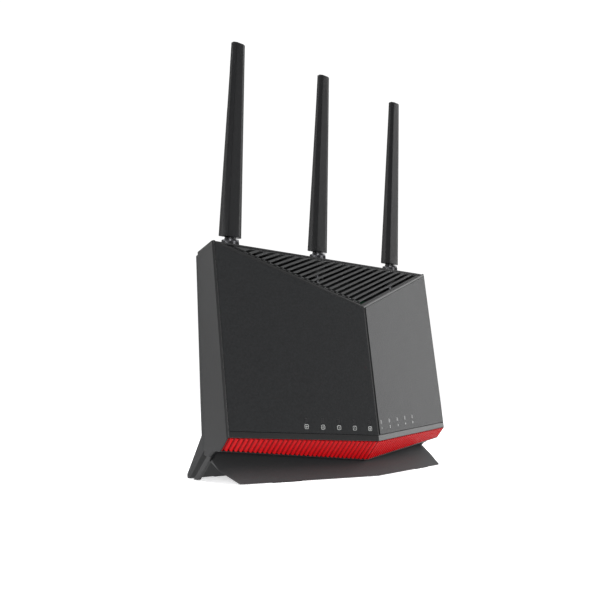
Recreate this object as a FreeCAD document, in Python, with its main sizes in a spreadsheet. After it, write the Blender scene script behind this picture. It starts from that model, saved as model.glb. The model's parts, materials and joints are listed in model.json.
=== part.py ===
import FreeCAD, Part
import math
import os
import re

import Sketcher

# Upright wireless router: a faceted case that stands on a splayed foot, with three swivelling antennas.
# Frame: +X to the right as seen from the front, +Y to the back, +Z up, origin on the table under the middle
# of the case's footprint. Every "setback" is a distance behind the front crease, the case's foremost line.

SIZES = {
    # Case outline
    "width": (242.0, "overall width"),
    "depth": (100.0, "front crease to the back of the rear foot"),
    "case_height": (169.0, "table to the top ridge"),
    "corner_setback": (29.0, "lower front corners"),
    "ridge_setback": (48.2, "top ridge"),
    "corner_height": (32.0, "bottom edge of the front at the corners"),
    "crease_height": (26.0, "bottom edge of the front at the crease"),
    "crease_top_drop": (41.0, "top of the crease below the ridge"),
    "shoulder_run": (17.5, "shoulder behind the ridge, along the depth"),
    "shoulder_drop": (6.6, "fall of the shoulder over that run"),
    "shoulder_skirt": (16.0, "how far down the rear cover is cut to fit under the shoulder"),
    "split_setback": (54.2, "split between front shell and rear cover, at the corner height"),
    "belly_height": (11.0, "underside of the case at the crease"),
    "belly_side_height": (22.2, "underside of the case at its sides"),
    "strip_setback": (12.6, "lower edge of the accent strip at the crease"),
    "toe_setback": (49.5, "front of the side wall where its leg begins"),
    "toe_height": (17.7, "height of that point"),
    "leg_setback": (68.0, "front of the side leg at the table"),
    "leg_width": (3.6, "side leg, front to back"),
    "leg_overlap": (5.0, "side leg's reach up into the side wall"),
    "toe_thickness": (1.2, "side wall above its toe"),
    "ground_gap": (0.6, "table to the hard plastic, which the rubber feet fill"),
    # Walls, panels and clearances
    "shell_wall": (2.4, "wall of the rear cover, the sides and the stand"),
    "front_wall": (2.8, "wall of the front facets"),
    "panel_thickness": (1.4, "front panels"),
    "panel_rim": (1.5, "frame showing beside a front panel"),
    "panel_sill": (4.0, "frame showing under a front panel"),
    "crease_groove": (3.0, "groove beside the crease"),
    "insert_depth": (0.84, "insert's face below the panels'"),
    "seam": (0.12, "gap between two fitted pieces"),
    "sill_gap": (0.35, "groove between a front panel and the frame under it"),
    "side_chamfer": (1.7, "bevel between the front and the sides"),
    "vent_chamfer": (1.0, "bevel round the vent"),
    "ridge_chamfer": (1.5, "bevel along the top ridge"),
    "edge_bevel": (1.0, "bevel along the lower edge of the side walls"),
    # Vent grille
    "vent_rim": (1.0, "shell left beside the grille, at the front edges"),
    "vent_ridge_rim": (2.4, "shell left beside the grille, along the ridge"),
    "vent_thickness": (1.4, "grille plate"),
    "vent_recess": (0.6, "grille below the shell's surface"),
    "vent_frame": (0.7, "solid border of the grille"),
    "vent_flange": (1.5, "flange under the shell's edge"),
    "vent_channel": (3.4, "channel across the slots' lower ends"),
    "vent_channel_depth": (0.9, "depth of that channel"),
    "vent_shortest": (9.0, "shortest slot"),
    "vent_beam": (1.4, "beam under the ribs' lower ends, across and down"),
    "vent_pitch": (4.0, "slot spacing"),
    "vent_slot": (2.35, "slot width"),
    # Accent strip
    "strip_depth": (2.2, "recess that takes the strip"),
    "strip_wall": (1.2, "wall behind that recess"),
    "strip_gap": (0.4, "shell left above the strip"),
    "strip_shadow": (1.0, "open gap between the shell and the strip's upper edge"),
    "strip_end": (0.9, "shell left at each end of the strip"),
    "strip_rim": (0.7, "shell left below the strip"),
    "rib_pitch": (3.7, "rib spacing"),
    "rib_height": (1.4, "rib height"),
    "rib_valley": (0.84, "width of a groove between ribs, as a share of their spacing"),
    # Rear cover
    "back_setback": (67.6, "back wall at the corner height"),
    "back_top_setback": (78.0, "back wall at its top"),
    "back_top_drop": (19.0, "top of the back wall below the ridge"),
    "shoulder_setback": (75.0, "back edge of the shoulder"),
    "flank_setback": (61.5, "back of the flank at the corner height"),
    "flank_top_setback": (70.2, "back of the flank at the top of the back wall"),
    "flank_inset": (26.0, "corner facet of the back, along the width"),
    "foot_front_setback": (81.0, "front of the rear foot at the table"),
    "foot_flank_setback": (84.0, "back of the rear foot at its ends"),
    "foot_corner_inset": (61.0, "corners of the rear foot's back in from the case's sides"),
    "foot_lip": (3.5, "upright edge of the rear foot"),
    "foot_taper": (5.0, "each end of the foot drawn in at the table"),
    "louvre_pitch": (8.0, "slot spacing in the back wall"),
    "louvre_slot": (2.6, "slot width in the back wall"),
    "louvre_height": (62.0, "slotted field of the back wall"),
    "louvre_width": (150.0, "slotted field of the back wall"),
    "louvre_lift": (12.0, "slotted field above the port bay"),
    "louvre_lean": (35.0, "lean of those slots, in degrees"),
    # Stand
    "stand_inset": (13.5, "stand in from the case's sides, at the table"),
    "stand_side_setback": (25.8, "front corners of the stand at the table"),
    "stand_setback": (0.8, "stand's crease at the table"),
    "stand_lean": (1.24, "run of the stand's front for each unit of rise"),
    "stand_foot": (0.4, "table to the stand, which the rubber feet fill"),
    "stand_rise_setback": (28.0, "where the stand's lower edge starts to rise"),
    "stand_rise": (0.57, "rise of that edge for each unit of depth"),
    "stand_end_setback": (57.0, "back end of the stand"),
    "stand_heel_inset": (3.7, "heels of the stand's flanks in from the case's sides"),
    "stand_heel_setback": (44.0, "heels of the stand's flanks"),
    "stand_heel_height": (10.0, "height of those heels"),
    "stand_top_inset": (19.0, "top of the flanks in from the case's sides"),
    "stand_top_setback": (46.5, "top of the flanks' front edges"),
    "stand_top_height": (19.2, "height of that point"),
    "stand_screw_inset": (46.0, "stand screws in from the case's sides"),
    "stand_screw_back": (7.5, "stand screws behind the stand's front face"),
    # Main board
    "board_setback": (50.0, "front face of the board"),
    "board_thickness": (1.6, "main board"),
    "board_margin": (18.0, "board in from the case's sides"),
    "board_bottom": (36.0, "table to the board"),
    "board_top_drop": (31.0, "top of the board below the ridge"),
    "board_post": (3.4, "radius of the posts that carry the board"),
    "board_post_inset": (7.0, "posts in from the board's edges"),
    # Ports on the back
    "port_panel": (65.0, "setback of the port panel's inner face"),
    "port_line": (47.0, "table to the middle of the ports"),
    "port_bay_width": (172.0, "recess round the ports"),
    "port_bay_height": (27.0, "recess round the ports"),
    "lan_pitch": (14.6, "network socket spacing"),
    "lan_width": (14.2, "network socket"),
    "lan_height": (13.6, "network socket"),
    "lan_mouth_width": (11.8, "network socket's opening"),
    "lan_mouth_height": (8.2, "network socket's opening"),
    "lan_mouth_depth": (12.6, "network socket's opening"),
    "latch_width": (6.0, "latch notch of the opening"),
    "latch_height": (2.2, "latch notch of the opening"),
    "usb_width": (14.5, "serial port's shell"),
    "usb_height": (7.0, "serial port's shell"),
    "usb_skin": (0.6, "serial port's sheet metal"),
    "usb_tongue": (1.8, "serial port's tongue"),
    "dc_size": (10.0, "power inlet's housing"),
    "dc_bore": (2.9, "power inlet's radius"),
    "dc_pin": (1.0, "power inlet's pin radius"),
    # Buttons
    "power_size": (9.0, "power button"),
    "power_travel": (2.5, "power button's travel"),
    "key_width": (9.0, "side keys, along the height"),
    "key_depth": (4.4, "side keys, along the depth"),
    "key_travel": (0.8, "side keys' travel"),
    "key_back": (17.0, "side keys behind the lower front corners"),
    "pairing_key_lift": (34.0, "lower side key above those corners"),
    "wireless_key_lift": (54.0, "upper side key above those corners"),
    "flange_reach": (0.9, "side keys' flanges beyond the keys"),
    "key_switch_size": (5.0, "side keys' switches, across"),
    "key_board_width": (9.0, "board behind the side keys"),
    "key_board_height": (34.0, "board behind the side keys"),
    "reset_radius": (1.2, "reset button"),
    "reset_travel": (0.6, "reset button's travel"),
    "button_gap": (0.3, "clearance round each button"),
    # Status lights
    "light_pitch": (13.333, "status light spacing"),
    "light_width": (2.2, "status light window"),
    "light_height": (2.8, "status light window"),
    "light_lift": (13.4, "status lights above the front's bottom edge"),
    "light_board_lift": (2.0, "middle of the light board above the lights"),
    "light_board_height": (11.0, "board behind the lights"),
    "light_board_margin": (4.5, "that board beyond its screws"),
    "light_screw_out": (3.0, "light board's screws beyond the lights"),
    "light_clearance": (0.1, "light chips to their guides"),
    # Antennas
    "antenna_inset": (29.0, "outer antennas in from the case's sides"),
    "antenna_setback": (64.6, "antenna axis"),
    "antenna_length": (148.4, "blade"),
    "blade_lift": (7.6, "blade above the ridge"),
    "blade_width": (18.0, "blade at its foot"),
    "blade_depth": (8.4, "blade at its foot"),
    "blade_tip_width": (11.2, "blade at its tip"),
    "blade_tip_depth": (4.7, "blade at its tip"),
    "blade_tip_forward": (7.7, "blade's front leans forward to its tip"),
    "blade_ridge": (2.0, "how far the blade's front stands forward of its edges"),
    "blade_nose": (5.0, "half the flat of the blade's front"),
    "blade_bevel": (1.6, "bevelled edges of the blade's back"),
    "blade_cover": (1.2, "blade's back cover"),
    "blade_cover_lift": (11.8, "foot of the back cover above the blade's foot"),
    "blade_wall": (1.2, "blade's front wall"),
    "pin_lift": (7.0, "hinge pin above the blade's foot"),
    "pin_cover": (1.8, "plastic over each end of the hinge pin"),
    "pin_radius": (1.2, "hinge pin"),
    "tongue_width": (6.0, "hinge tongue"),
    "tongue_radius": (2.7, "hinge tongue round the pin"),
    "tongue_gap": (0.25, "hinge tongue to each cheek"),
    "running_fit": (0.06, "radial clearance of pin and swivel"),
    "neck_radius": (4.3, "antenna neck"),
    "collar_radius": (6.5, "coupling nut"),
    "collar_height": (6.1, "coupling nut"),
    "collar_top_drop": (2.1, "coupling nut below the blade"),
    "jack_radius": (3.1, "coaxial jack"),
    "jack_nut": (9.0, "jack nut across its flats"),
    "jack_nut_height": (2.2, "jack nut"),
    "boss_radius": (8.0, "boss under each antenna"),
    "boss_height": (9.0, "boss's thickness, from seat to inner face"),
    # Fasteners
    "screw_radius": (1.25, "screw shanks"),
    "screw_head": (2.7, "screw heads"),
    "screw_head_height": (1.8, "screw heads"),
    "screw_hole": (1.4, "screw holes"),
    "screw_inset": (14.0, "case screws in from the sides"),
    "case_screw_lift": (16.0, "lower case screws above the corners"),
    "case_screw_drop": (45.0, "upper case screws below the ridge"),
    "case_screw_seat": (3.4, "case screws' heads below the corner facets"),
    "case_screw_bite": (10.0, "case screws in the front shell"),
    "board_screw": (8.0, "board and stand screws, under their heads"),
    "small_screw_bite": (3.0, "small screws in their posts"),
    "screw_spare": (2.0, "screw holes beyond the screws"),
    "screw_sink": (0.6, "stand screws' heads below the stand's wall"),
    "post_gap": (0.3, "case screws' posts, each to the split"),
    "screw_post": (3.6, "posts that take the screws"),
    "light_board_setback": (25.0, "front of the board behind the lights"),
    "light_board": (1.2, "board behind the lights"),
    "led_height": (1.2, "status light chips"),
    "pad_inset": (46.0, "rubber feet in from the case's sides"),
    "pad_depth": (8.0, "rear rubber feet"),
    "pad_width": (22.0, "front rubber feet"),
    "rear_pad_width": (28.0, "rear rubber feet"),
    "pad_margin": (2.0, "rear rubber feet behind the rear foot's front"),
    "pad_reach": (0.5, "front rubber feet behind the stand's front face"),
    "pad_overhang": (0.9, "front rubber feet past the back of the stand's wall"),
    "pad_sink": (0.9, "rubber feet let into the plastic"),
    "key_flange": (1.2, "side keys' flange"),
    "key_switch": (3.5, "side keys' switches"),
    "key_board": (1.2, "board behind the side keys"),
    "dc_depth": (9.5, "power inlet's bore"),
    "shield_width": (30.0, "radio shields"),
    "shield_height": (3.0, "radio shields"),
    "chip_height": (1.3, "chips"),
    "pad_thickness": (1.0, "thermal pad"),
    "sink_width": (64.0, "heat sink"),
    "sink_height": (40.0, "heat sink"),
    "sink_base": (2.0, "heat sink's base"),
    "sink_depth": (12.0, "heat sink with its fins"),
    "sink_fin": (1.4, "heat sink's fins"),
}

PARTS = "parts"
FAR = 500.0
CLEAR = 9.0  # far enough past a face or a wall for a clean cut
LAN_COUNT = 4
LIGHT_COUNT = 10
V = FreeCAD.Vector

doc = FreeCAD.newDocument("Router")
sheet = doc.addObject("Spreadsheet::Sheet", "Sizes")
for row, (alias, (value, meaning)) in enumerate(SIZES.items(), start=1):
    sheet.set(f"A{row}", meaning)
    sheet.set(f"B{row}", str(value))
    sheet.setAlias(f"B{row}", alias)
doc.recompute()


class Sizes:
    """Reads a driving dimension back from the sheet, as size.width."""

    def __getattr__(self, alias):
        return float(sheet.get(alias))


size = Sizes()
kept = []


# ---------------------------------------------------------------- helpers: binding and sketching

def formula(text):
    """The text with each alias turned into a reference to the sheet."""
    return re.sub(r"[a-z_]+", lambda word: "Sizes." + word.group(0), str(text))


def evaluate(text):
    """A formula's value now."""
    numbers = re.sub(r"[a-z_]+", lambda word: str(getattr(size, word.group(0))), str(text))
    return FreeCAD.Units.Quantity(numbers).Value


def bind(item, **properties):
    """Binds properties to formulas. A double underscore in a name stands for a dot."""
    for name, text in properties.items():
        item.setExpression(name.replace("__", "."), formula(text))
    return item


def keep(item, label):
    """Marks a finished sub-part, whose label names its file."""
    item.Label = label
    kept.append(item)
    return item


def new_body(name, x="0", y="0", z="0"):
    """An empty PartDesign body, placed at formulas."""
    body = doc.addObject("PartDesign::Body", name)
    return bind(body, Placement__Base__x=x, Placement__Base__y=y, Placement__Base__z=z)


def sketch_on(body, role, offset="0"):
    """A sketch on one of the body's own origin planes, moved along that plane's normal."""
    sketch = body.newObject("Sketcher::SketchObject", body.Name + "_sketch")
    plane = [item for item in body.Origin.OriginFeatures if item.Role == role][0]
    sketch.AttachmentSupport = [(plane, "")]
    sketch.MapMode = "FlatFace"
    return bind(sketch, AttachmentOffset__Base__z=offset)


def dimension(sketch, kind, line, end, text):
    """Holds one coordinate of a line's end at a formula."""
    axis = {"DistanceX": -2, "DistanceY": -1}[kind]
    if str(text) == "0":
        sketch.addConstraint(Sketcher.Constraint("PointOnObject", line, end, axis))
        return
    index = sketch.addConstraint(Sketcher.Constraint(kind, -1, 1, line, end, 1.0))
    sketch.setExpression(f"Constraints[{index}]", formula(text))


def outline(sketch, corners):
    """A closed outline of straight lines, each corner given by two formulas."""
    guess = [V(evaluate(x), evaluate(y), 0) for x, y in corners]
    lines = []
    for start, end in zip(guess, guess[1:] + guess[:1]):
        lines.append(sketch.addGeometry(Part.LineSegment(start, end)))
    for line, after in zip(lines, lines[1:] + lines[:1]):
        sketch.addConstraint(Sketcher.Constraint("Coincident", line, 2, after, 1))
    for line, (x, y) in zip(lines, corners):
        dimension(sketch, "DistanceX", line, 1, x)
        dimension(sketch, "DistanceY", line, 1, y)
    return sketch


def block(sketch, width, height, x="0", y="0"):
    """A rectangle of the given width and height about a centre."""
    left, right = f"({x}) - ({width}) / 2", f"({x}) + ({width}) / 2"
    low, high = f"({y}) - ({height}) / 2", f"({y}) + ({height}) / 2"
    return outline(sketch, [(left, low), (right, low), (right, high), (left, high)])


def disc(sketch, radius, x="0", y="0"):
    """A circle of the given radius about a centre."""
    circle = sketch.addGeometry(Part.Circle(V(evaluate(x), evaluate(y), 0), V(0, 0, 1), evaluate(radius)))
    dimension(sketch, "DistanceX", circle, 3, x)
    dimension(sketch, "DistanceY", circle, 3, y)
    index = sketch.addConstraint(Sketcher.Constraint("Radius", circle, evaluate(radius)))
    sketch.setExpression(f"Constraints[{index}]", formula(radius))
    return sketch


def pad(body, sketch, length, backwards=False):
    """Adds the sketch's outline, pushed out by a formula."""
    feature = body.newObject("PartDesign::Pad", body.Name + "_pad")
    feature.Profile = sketch
    feature.Reversed = backwards
    return bind(feature, Length=length)


def pocket(body, sketch, depth, backwards=False):
    """Removes the sketch's outline to a depth, and checks that it cut something."""
    doc.recompute()
    before = body.Shape.Volume
    feature = body.newObject("PartDesign::Pocket", body.Name + "_pocket")
    feature.Profile = sketch
    feature.Reversed = backwards
    bind(feature, Length=depth)
    doc.recompute()
    if body.Shape.Volume >= before:
        raise RuntimeError(f"a pocket of {body.Name} cuts nothing")
    return feature


# ---------------------------------------------------------------- helpers: faceted solids

def unit(vector):
    return V(vector) / vector.Length


def facing(a, b, c, away_from):
    """The plane through three points as (point, unit normal), with its normal away from a point inside."""
    normal = unit((b - a).cross(c - a))
    return (a, normal if normal.dot(a - away_from) > 0 else -normal)


def trim(shape, plane, shift=0.0):
    """The shape without what lies beyond a plane, which is first moved out by shift."""
    point, normal = plane
    beyond = Part.makeBox(4 * FAR, 4 * FAR, 4 * FAR, V(-2 * FAR, -2 * FAR, 0))
    beyond.Placement = FreeCAD.Placement(point + normal * shift, FreeCAD.Rotation(V(0, 0, 1), normal))
    return shape.cut(beyond)


def between(planes, wall=False):
    """The convex solid inside planes of (point, normal, wall). With wall, each plane moves in by its own."""
    solid = Part.makeBox(FAR, FAR, FAR, V(-FAR / 2, -FAR / 2, -FAR / 2))
    for point, normal, thickness in planes:
        solid = trim(solid, (point, normal), -thickness if wall else 0.0)
    return solid


def inset(corners, distances):
    """A flat outline with each edge moved in by its own distance. Edge i runs from corner i to the next one."""
    normal = unit((corners[1] - corners[0]).cross(corners[2] - corners[0]))
    count = len(corners)
    moved = []
    for i in range(count):
        before = unit(corners[i] - corners[i - 1])
        after = unit(corners[(i + 1) % count] - corners[i])
        inward_before, inward_after = normal.cross(before), normal.cross(after)
        spread = before.cross(after).dot(normal)
        along_after = (distances[i - 1] - distances[i] * inward_before.dot(inward_after)) / spread
        moved.append(corners[i] + inward_after * distances[i] + after * along_after)
    return moved


def plate(corners, thickness, above=0.0):
    """A flat plate under an outline, on the side away from its normal. It can reach above the outline."""
    normal = unit((corners[1] - corners[0]).cross(corners[2] - corners[0]))
    raised = [corner + normal * above for corner in corners]
    face = Part.Face(Part.makePolygon(raised + raised[:1]))
    return face.extrude(-normal * (thickness + above))


def prism_x(points, low, high):
    """A prism along X over an outline of (y, z) points."""
    wire = Part.makePolygon([V(low, y, z) for y, z in points + points[:1]])
    return Part.Face(wire).extrude(V(high - low, 0, 0))


def box(x, y, z):
    """A box from three (low, high) pairs."""
    return Part.makeBox(x[1] - x[0], y[1] - y[0], z[1] - z[0], V(x[0], y[0], z[0]))


def rod(radius, start, end):
    """A cylinder between two points."""
    return Part.makeCylinder(radius, (end - start).Length, start, end - start)


def feature(label, shape):
    """A sub-part whose shape neither sketches nor primitives give."""
    item = doc.addObject("Part::Feature", label)
    item.Shape = shape
    item.Placement = FreeCAD.Placement()
    return keep(item, label)


def group(label, items):
    """Identical pieces as one sub-part of separate solids."""
    compound = doc.addObject("Part::Compound", label)
    compound.Links = items
    return keep(compound, label)


# ---------------------------------------------------------------- case outline, from the driving dimensions

def behind(setback):
    """The Y of a point that is a distance behind the front crease."""
    return setback - size.depth / 2


half = size.width / 2
rear_half = half - size.shell_wall - size.seam
ridge_z = size.case_height
back_top_z = ridge_z - size.back_top_drop
split_low = V(0, behind(size.split_setback), size.corner_height)
split_high = V(0, behind(size.ridge_setback + size.shoulder_run), ridge_z - size.shoulder_drop)

top_left = V(-half, behind(size.ridge_setback), ridge_z)
top_right = V(half, behind(size.ridge_setback), ridge_z)
low_left = V(-half, behind(size.corner_setback), size.corner_height)
low_right = V(half, behind(size.corner_setback), size.corner_height)
crease_low = V(0, behind(0), size.crease_height)
middle = V(0, behind(size.split_setback), (ridge_z + size.corner_height) / 2)
in_foot = V(0, behind(size.foot_front_setback), size.belly_height)
in_stand = V(0, behind(size.stand_rise_setback), size.belly_height / 2)
across = V(CLEAR, 0, 0)
deeper = V(0, CLEAR, 0)

left_facet = facing(top_left, low_left, crease_low, middle)
right_facet = facing(top_right, low_right, crease_low, middle)


def depth_on(plane, x, z):
    """The Y at which a plane crosses an x and a height."""
    point, normal = plane
    return point.y - (normal.x * (x - point.x) + normal.z * (z - point.z)) / normal.y


def on_front(x, z):
    """The point of the front's facets at an x and a height."""
    return V(x, depth_on(left_facet if x <= 0 else right_facet, x, z), z)


crease_top = on_front(0, ridge_z - size.crease_top_drop)
vent_facet = facing(top_left, top_right, crease_top, middle)
shoulder = facing(top_left, top_right, split_high, middle)
split = facing(split_low, split_low + across, split_high, crease_low)
belly_middle = V(0, 0, size.belly_height)
belly_left = facing(belly_middle, belly_middle + deeper, V(-half, 0, size.belly_side_height), middle)
belly_right = facing(belly_middle, belly_middle + deeper, V(half, 0, size.belly_side_height), middle)


def side(sign, reach):
    return (V(sign * reach, 0, 0), V(sign, 0, 0))


def back_corner(sign):
    """Plane of a corner facet of the back."""
    low = V(sign * rear_half, behind(size.flank_setback), size.corner_height)
    high = V(sign * rear_half, behind(size.flank_top_setback), back_top_z)
    inner = V(sign * (half - size.flank_inset), behind(size.back_top_setback), back_top_z)
    return facing(low, high, inner, middle)


back_low = V(0, behind(size.back_setback), size.corner_height)
back_top = V(0, behind(size.back_top_setback), back_top_z)
shoulder_fall = size.shoulder_drop / size.shoulder_run
shoulder_end = V(0, behind(size.shoulder_setback),
                 ridge_z - (size.shoulder_setback - size.ridge_setback) * shoulder_fall)
back_wall = facing(back_low, back_low + across, back_top, middle)
back_bevel = facing(shoulder_end, shoulder_end + across, back_top, middle)


strip_low = V(0, behind(size.strip_setback), size.belly_height)
strip_left = facing(low_left, crease_low, strip_low, middle)
strip_right = facing(low_right, crease_low, strip_low, middle)


def belly_at(x):
    return size.belly_height + (size.belly_side_height - size.belly_height) * abs(x) / half


def eased(first, second, point, width):
    """The plane of a bevel of a given width, along the edge where two planes meet at a point."""
    normal = unit(first[1] + second[1])
    depth = width / 2 * math.tan(first[1].getAngle(second[1]) / 2)
    return (point - normal * depth, normal)


def eased_edges(reach):
    """The bevels along the front's outer edges."""
    edges = [eased(vent_facet, shoulder, top_left, size.ridge_chamfer)]
    for sign, facet, corner in ((-1, left_facet, top_left), (1, right_facet, top_right)):
        if reach == half:
            edges.append(eased(facet, side(sign, half), corner, size.side_chamfer))
        edges.append(eased(facet, vent_facet, corner, size.vent_chamfer))
    return edges


def case_solid(reach, grow=0.0, walls=False):
    """The closed case above its feet, with its sides at reach. It can be grown, or shrunk by its walls."""
    front = [left_facet, right_facet, vent_facet] + eased_edges(reach)
    under = [strip_left, strip_right]
    other = [shoulder, back_bevel, back_wall, back_corner(-1), back_corner(1), side(-1, reach), side(1, reach),
             belly_left, belly_right]
    planes = []
    under_wall = size.strip_depth + size.strip_wall
    for faces, wall in ((front, size.front_wall), (under, under_wall), (other, size.shell_wall)):
        planes += [(point, normal, (wall if walls else 0.0) - grow) for point, normal in faces]
    return between(planes, True)


def strip_outline(sign, gap=0.0, shadow=0.0):
    """Where the accent strip shows on one half of the case's underside, moved in by a gap."""
    end = V(sign * half, 0, belly_at(half))
    end.y = depth_on(strip_left if sign < 0 else strip_right, end.x, end.z)
    corner = low_left if sign < 0 else low_right
    corners = [corner, end, strip_low, crease_low]
    upper = size.strip_gap + shadow
    distances = [size.strip_end + gap, size.strip_rim + gap, 0.0, upper]
    if sign > 0:
        corners = corners[::-1]
        distances = [0.0, size.strip_rim + gap, size.strip_end + gap, upper]
    return inset(corners, distances)


def ahead_of_split(shape):
    return trim(shape, split)


def behind_split(shape, gap):
    return trim(shape, (split[0], -split[1]), -gap)


def shoulder_box(gap):
    """The part of the shoulder that belongs to the rear cover, drawn in by a gap."""
    lip = behind(size.ridge_setback) + size.shell_wall
    bottom = ridge_z - size.shoulder_skirt
    return box((gap - rear_half, rear_half - gap), (lip + gap, FAR / 2), (bottom + gap, FAR / 2))


# ---------------------------------------------------------------- where things stand

def light_spots():
    """Middle of each status light, on the front's surface."""
    spots = []
    for i in range(LIGHT_COUNT):
        x = (i - (LIGHT_COUNT - 1) / 2) * size.light_pitch
        edge = size.crease_height + (size.corner_height - size.crease_height) * abs(x) / half
        spots.append(on_front(x, edge + size.light_lift))
    return spots


def light_bars(extra, reach=5.0):
    """A bar along Y for each status light, from its board to beyond the front."""
    wide, tall = size.light_width / 2 + extra, size.light_height / 2 + extra
    back = behind(size.light_board_setback) - size.led_height - size.light_clearance
    return [box((p.x - wide, p.x + wide), (behind(-reach), back), (p.z - tall, p.z + tall))
            for p in light_spots()]


def mirrored(spots):
    return [(sign * x, z) for x, z in spots for sign in (-1, 1)]


case_screws = mirrored([(half - size.screw_inset, size.corner_height + size.case_screw_lift),
                        (half - size.screw_inset, ridge_z - size.case_screw_drop)])
board_width = size.width - 2 * size.board_margin
board_high = ridge_z - size.board_top_drop
board_back = behind(size.board_setback) + size.board_thickness
board_posts = mirrored([(board_width / 2 - size.board_post_inset, size.board_bottom + size.board_post_inset),
                        (board_width / 2 - size.board_post_inset, board_high - size.board_post_inset)])
light_posts = mirrored([(LIGHT_COUNT * size.light_pitch / 2 + size.light_screw_out,
                         size.crease_height + size.light_lift + size.light_board_lift)])
stand_screws = [sign * (half - size.stand_screw_inset) for sign in (-1, 1)]
antenna_x = [sign * (half - size.antenna_inset) for sign in (-1, 0, 1)]
SIDES = ("left", "middle", "right")
key_heights = {"pairing": size.corner_height + size.pairing_key_lift,
               "wireless": size.corner_height + size.wireless_key_lift}
key_y = behind(size.corner_setback + size.key_back)
panel_in = behind(size.port_panel)
panel_out = panel_in + size.shell_wall
lan_x = [10 + i * size.lan_pitch for i in range(LAN_COUNT)]
WAN_X, USB_X, POWER_X, DC_X, RESET_X = -9.0, (-48.0, -29.0), -63.0, -77.0, 73.0


def shoulder_at(y):
    return ridge_z - (y - behind(size.ridge_setback)) * shoulder_fall


# ---------------------------------------------------------------- front shell and what fits in it

def side_wall(sign):
    """One side wall with its leg, from the ridge to the table."""
    toe = V(sign * half, behind(size.toe_setback), size.toe_height)
    corner = low_left if sign < 0 else low_right
    outline_yz = [
        (top_left.y, ridge_z), (split_high.y, split_high.z), (split_low.y, split_low.z),
        (toe.y + size.leg_overlap, toe.z + size.toe_thickness), (toe.y, toe.z), (corner.y, corner.z),
    ]
    low, high = sorted((sign * (half - size.shell_wall), sign * half))
    wall = prism_x(outline_yz, low, high)
    in_bevel = V(-sign * size.edge_bevel, 0, 0)
    up_bevel = unit(V(0, toe.z - corner.z, corner.y - toe.y)) * -size.edge_bevel
    wall = trim(wall, facing(corner + in_bevel, toe + in_bevel, corner + up_bevel, middle))
    facet = left_facet if sign < 0 else right_facet
    wall = trim(wall, eased(facet, side(sign, half), corner, size.side_chamfer))
    foot_flank, outward = foot_flank_plane(sign)
    leg_front = V(0, behind(size.leg_setback), size.ground_gap)
    slope = facing(leg_front, leg_front + across, V(0, toe.y, toe.z), V(0, FAR, 0))
    leg = [(foot_flank, outward, -size.shell_wall - size.seam), (foot_flank, -outward, size.seam),
           (*slope, 0.0), (leg_front, -slope[1], -size.leg_width),
           (leg_front, V(0, 0, -1), 0.0), (V(0, 0, toe.z + size.leg_overlap), V(0, 0, 1), 0.0),
           (*side(sign, half), 0.0)]
    return wall.fuse(between(leg, True))


def foot_flank_plane(sign):
    """Plane of one side of the rear foot, which leans in towards the table."""
    end_x = sign * (rear_half - size.foot_taper)
    flank = V(sign * rear_half, behind(size.flank_setback), size.corner_height)
    return facing(flank, flank + deeper, V(end_x, flank.y, 0), in_foot)


def panel_outline(sign, rim, sill, groove):
    """A front panel's outline: the side's edge, the bottom, the crease and the vent's edge."""
    if sign < 0:
        return inset([top_left, low_left, crease_low, crease_top], [rim, sill, groove, rim])
    return inset([crease_top, crease_low, low_right, top_right], [groove, sill, rim, rim])


def vent_outline(extra=0.0):
    """The vent's triangle, moved in from the case's edges."""
    rims = [size.vent_rim, size.vent_rim, size.vent_ridge_rim]
    return inset([top_left, crease_top, top_right], [rim + extra for rim in rims])


def key_slits():
    """The two openings in the right side for the keys."""
    gap = size.button_gap
    slits = []
    for z in key_heights.values():
        tall, deep = size.key_width / 2 + gap, size.key_depth / 2 + gap
        across_wall = (half - size.shell_wall - 1, half + 1)
        slits.append(box(across_wall, (key_y - deep, key_y + deep), (z - tall, z + tall)))
    return slits


def front_shell():
    outer = ahead_of_split(case_solid(half))
    cavity = case_solid(half, walls=True)
    shell = outer.cut(cavity).cut(shoulder_box(-size.seam))
    posts = []
    for x, z in case_screws:
        end = depth_on(split, x, z) - size.post_gap
        posts.append(rod(size.screw_post, V(x, behind(0), z), V(x, end, z)))
    board_front = behind(size.light_board_setback)
    for x, z in light_posts:
        posts.append(rod(size.board_post, V(x, behind(0), z), V(x, board_front, z)))
    for x in stand_screws:
        y = stand_screw_y(x)
        posts.append(rod(size.screw_post, V(x, y, 0), V(x, y, belly_at(x) + size.board_screw + size.screw_spare)))
    post_y, post_z = key_y, sum(key_heights.values()) / 2
    posts.append(rod(size.board_post, V(half, post_y, post_z), V(key_board_x() + size.key_board, post_y, post_z)))
    shell = shell.fuse([post.common(outer) for post in posts])
    shell = shell.fuse([side_wall(sign) for sign in (-1, 1)])
    holes = []
    for x, z in case_screws:
        end = depth_on(split, x, z)
        bottom = end - size.case_screw_bite - size.screw_spare
        holes.append(rod(size.screw_hole, V(x, bottom, z), V(x, end + 1, z)))
    for x, z in light_posts:
        holes.append(rod(size.screw_hole, V(x, board_front - size.small_screw_bite - size.screw_spare, z),
                         V(x, board_front + 1, z)))
    for x in stand_screws:
        y = stand_screw_y(x)
        holes.append(rod(size.screw_hole, V(x, y, 0), V(x, y, belly_at(x) + size.board_screw)))
    holes.append(rod(size.screw_hole, V(half - size.shell_wall - 0.4, post_y, post_z), V(0, post_y, post_z)))
    for sign in (-1, 1):
        holes.append(plate(panel_outline(sign, size.panel_rim, size.panel_sill, 0.0), size.panel_thickness, 3.0))
        holes.append(plate(strip_outline(sign), size.strip_depth, 3.0))
    holes.append(plate(vent_outline(), size.front_wall + 3, 3.0))
    shell = shell.cut(holes + light_bars(size.seam) + key_slits())
    return feature("front_shell", shell)


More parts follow.
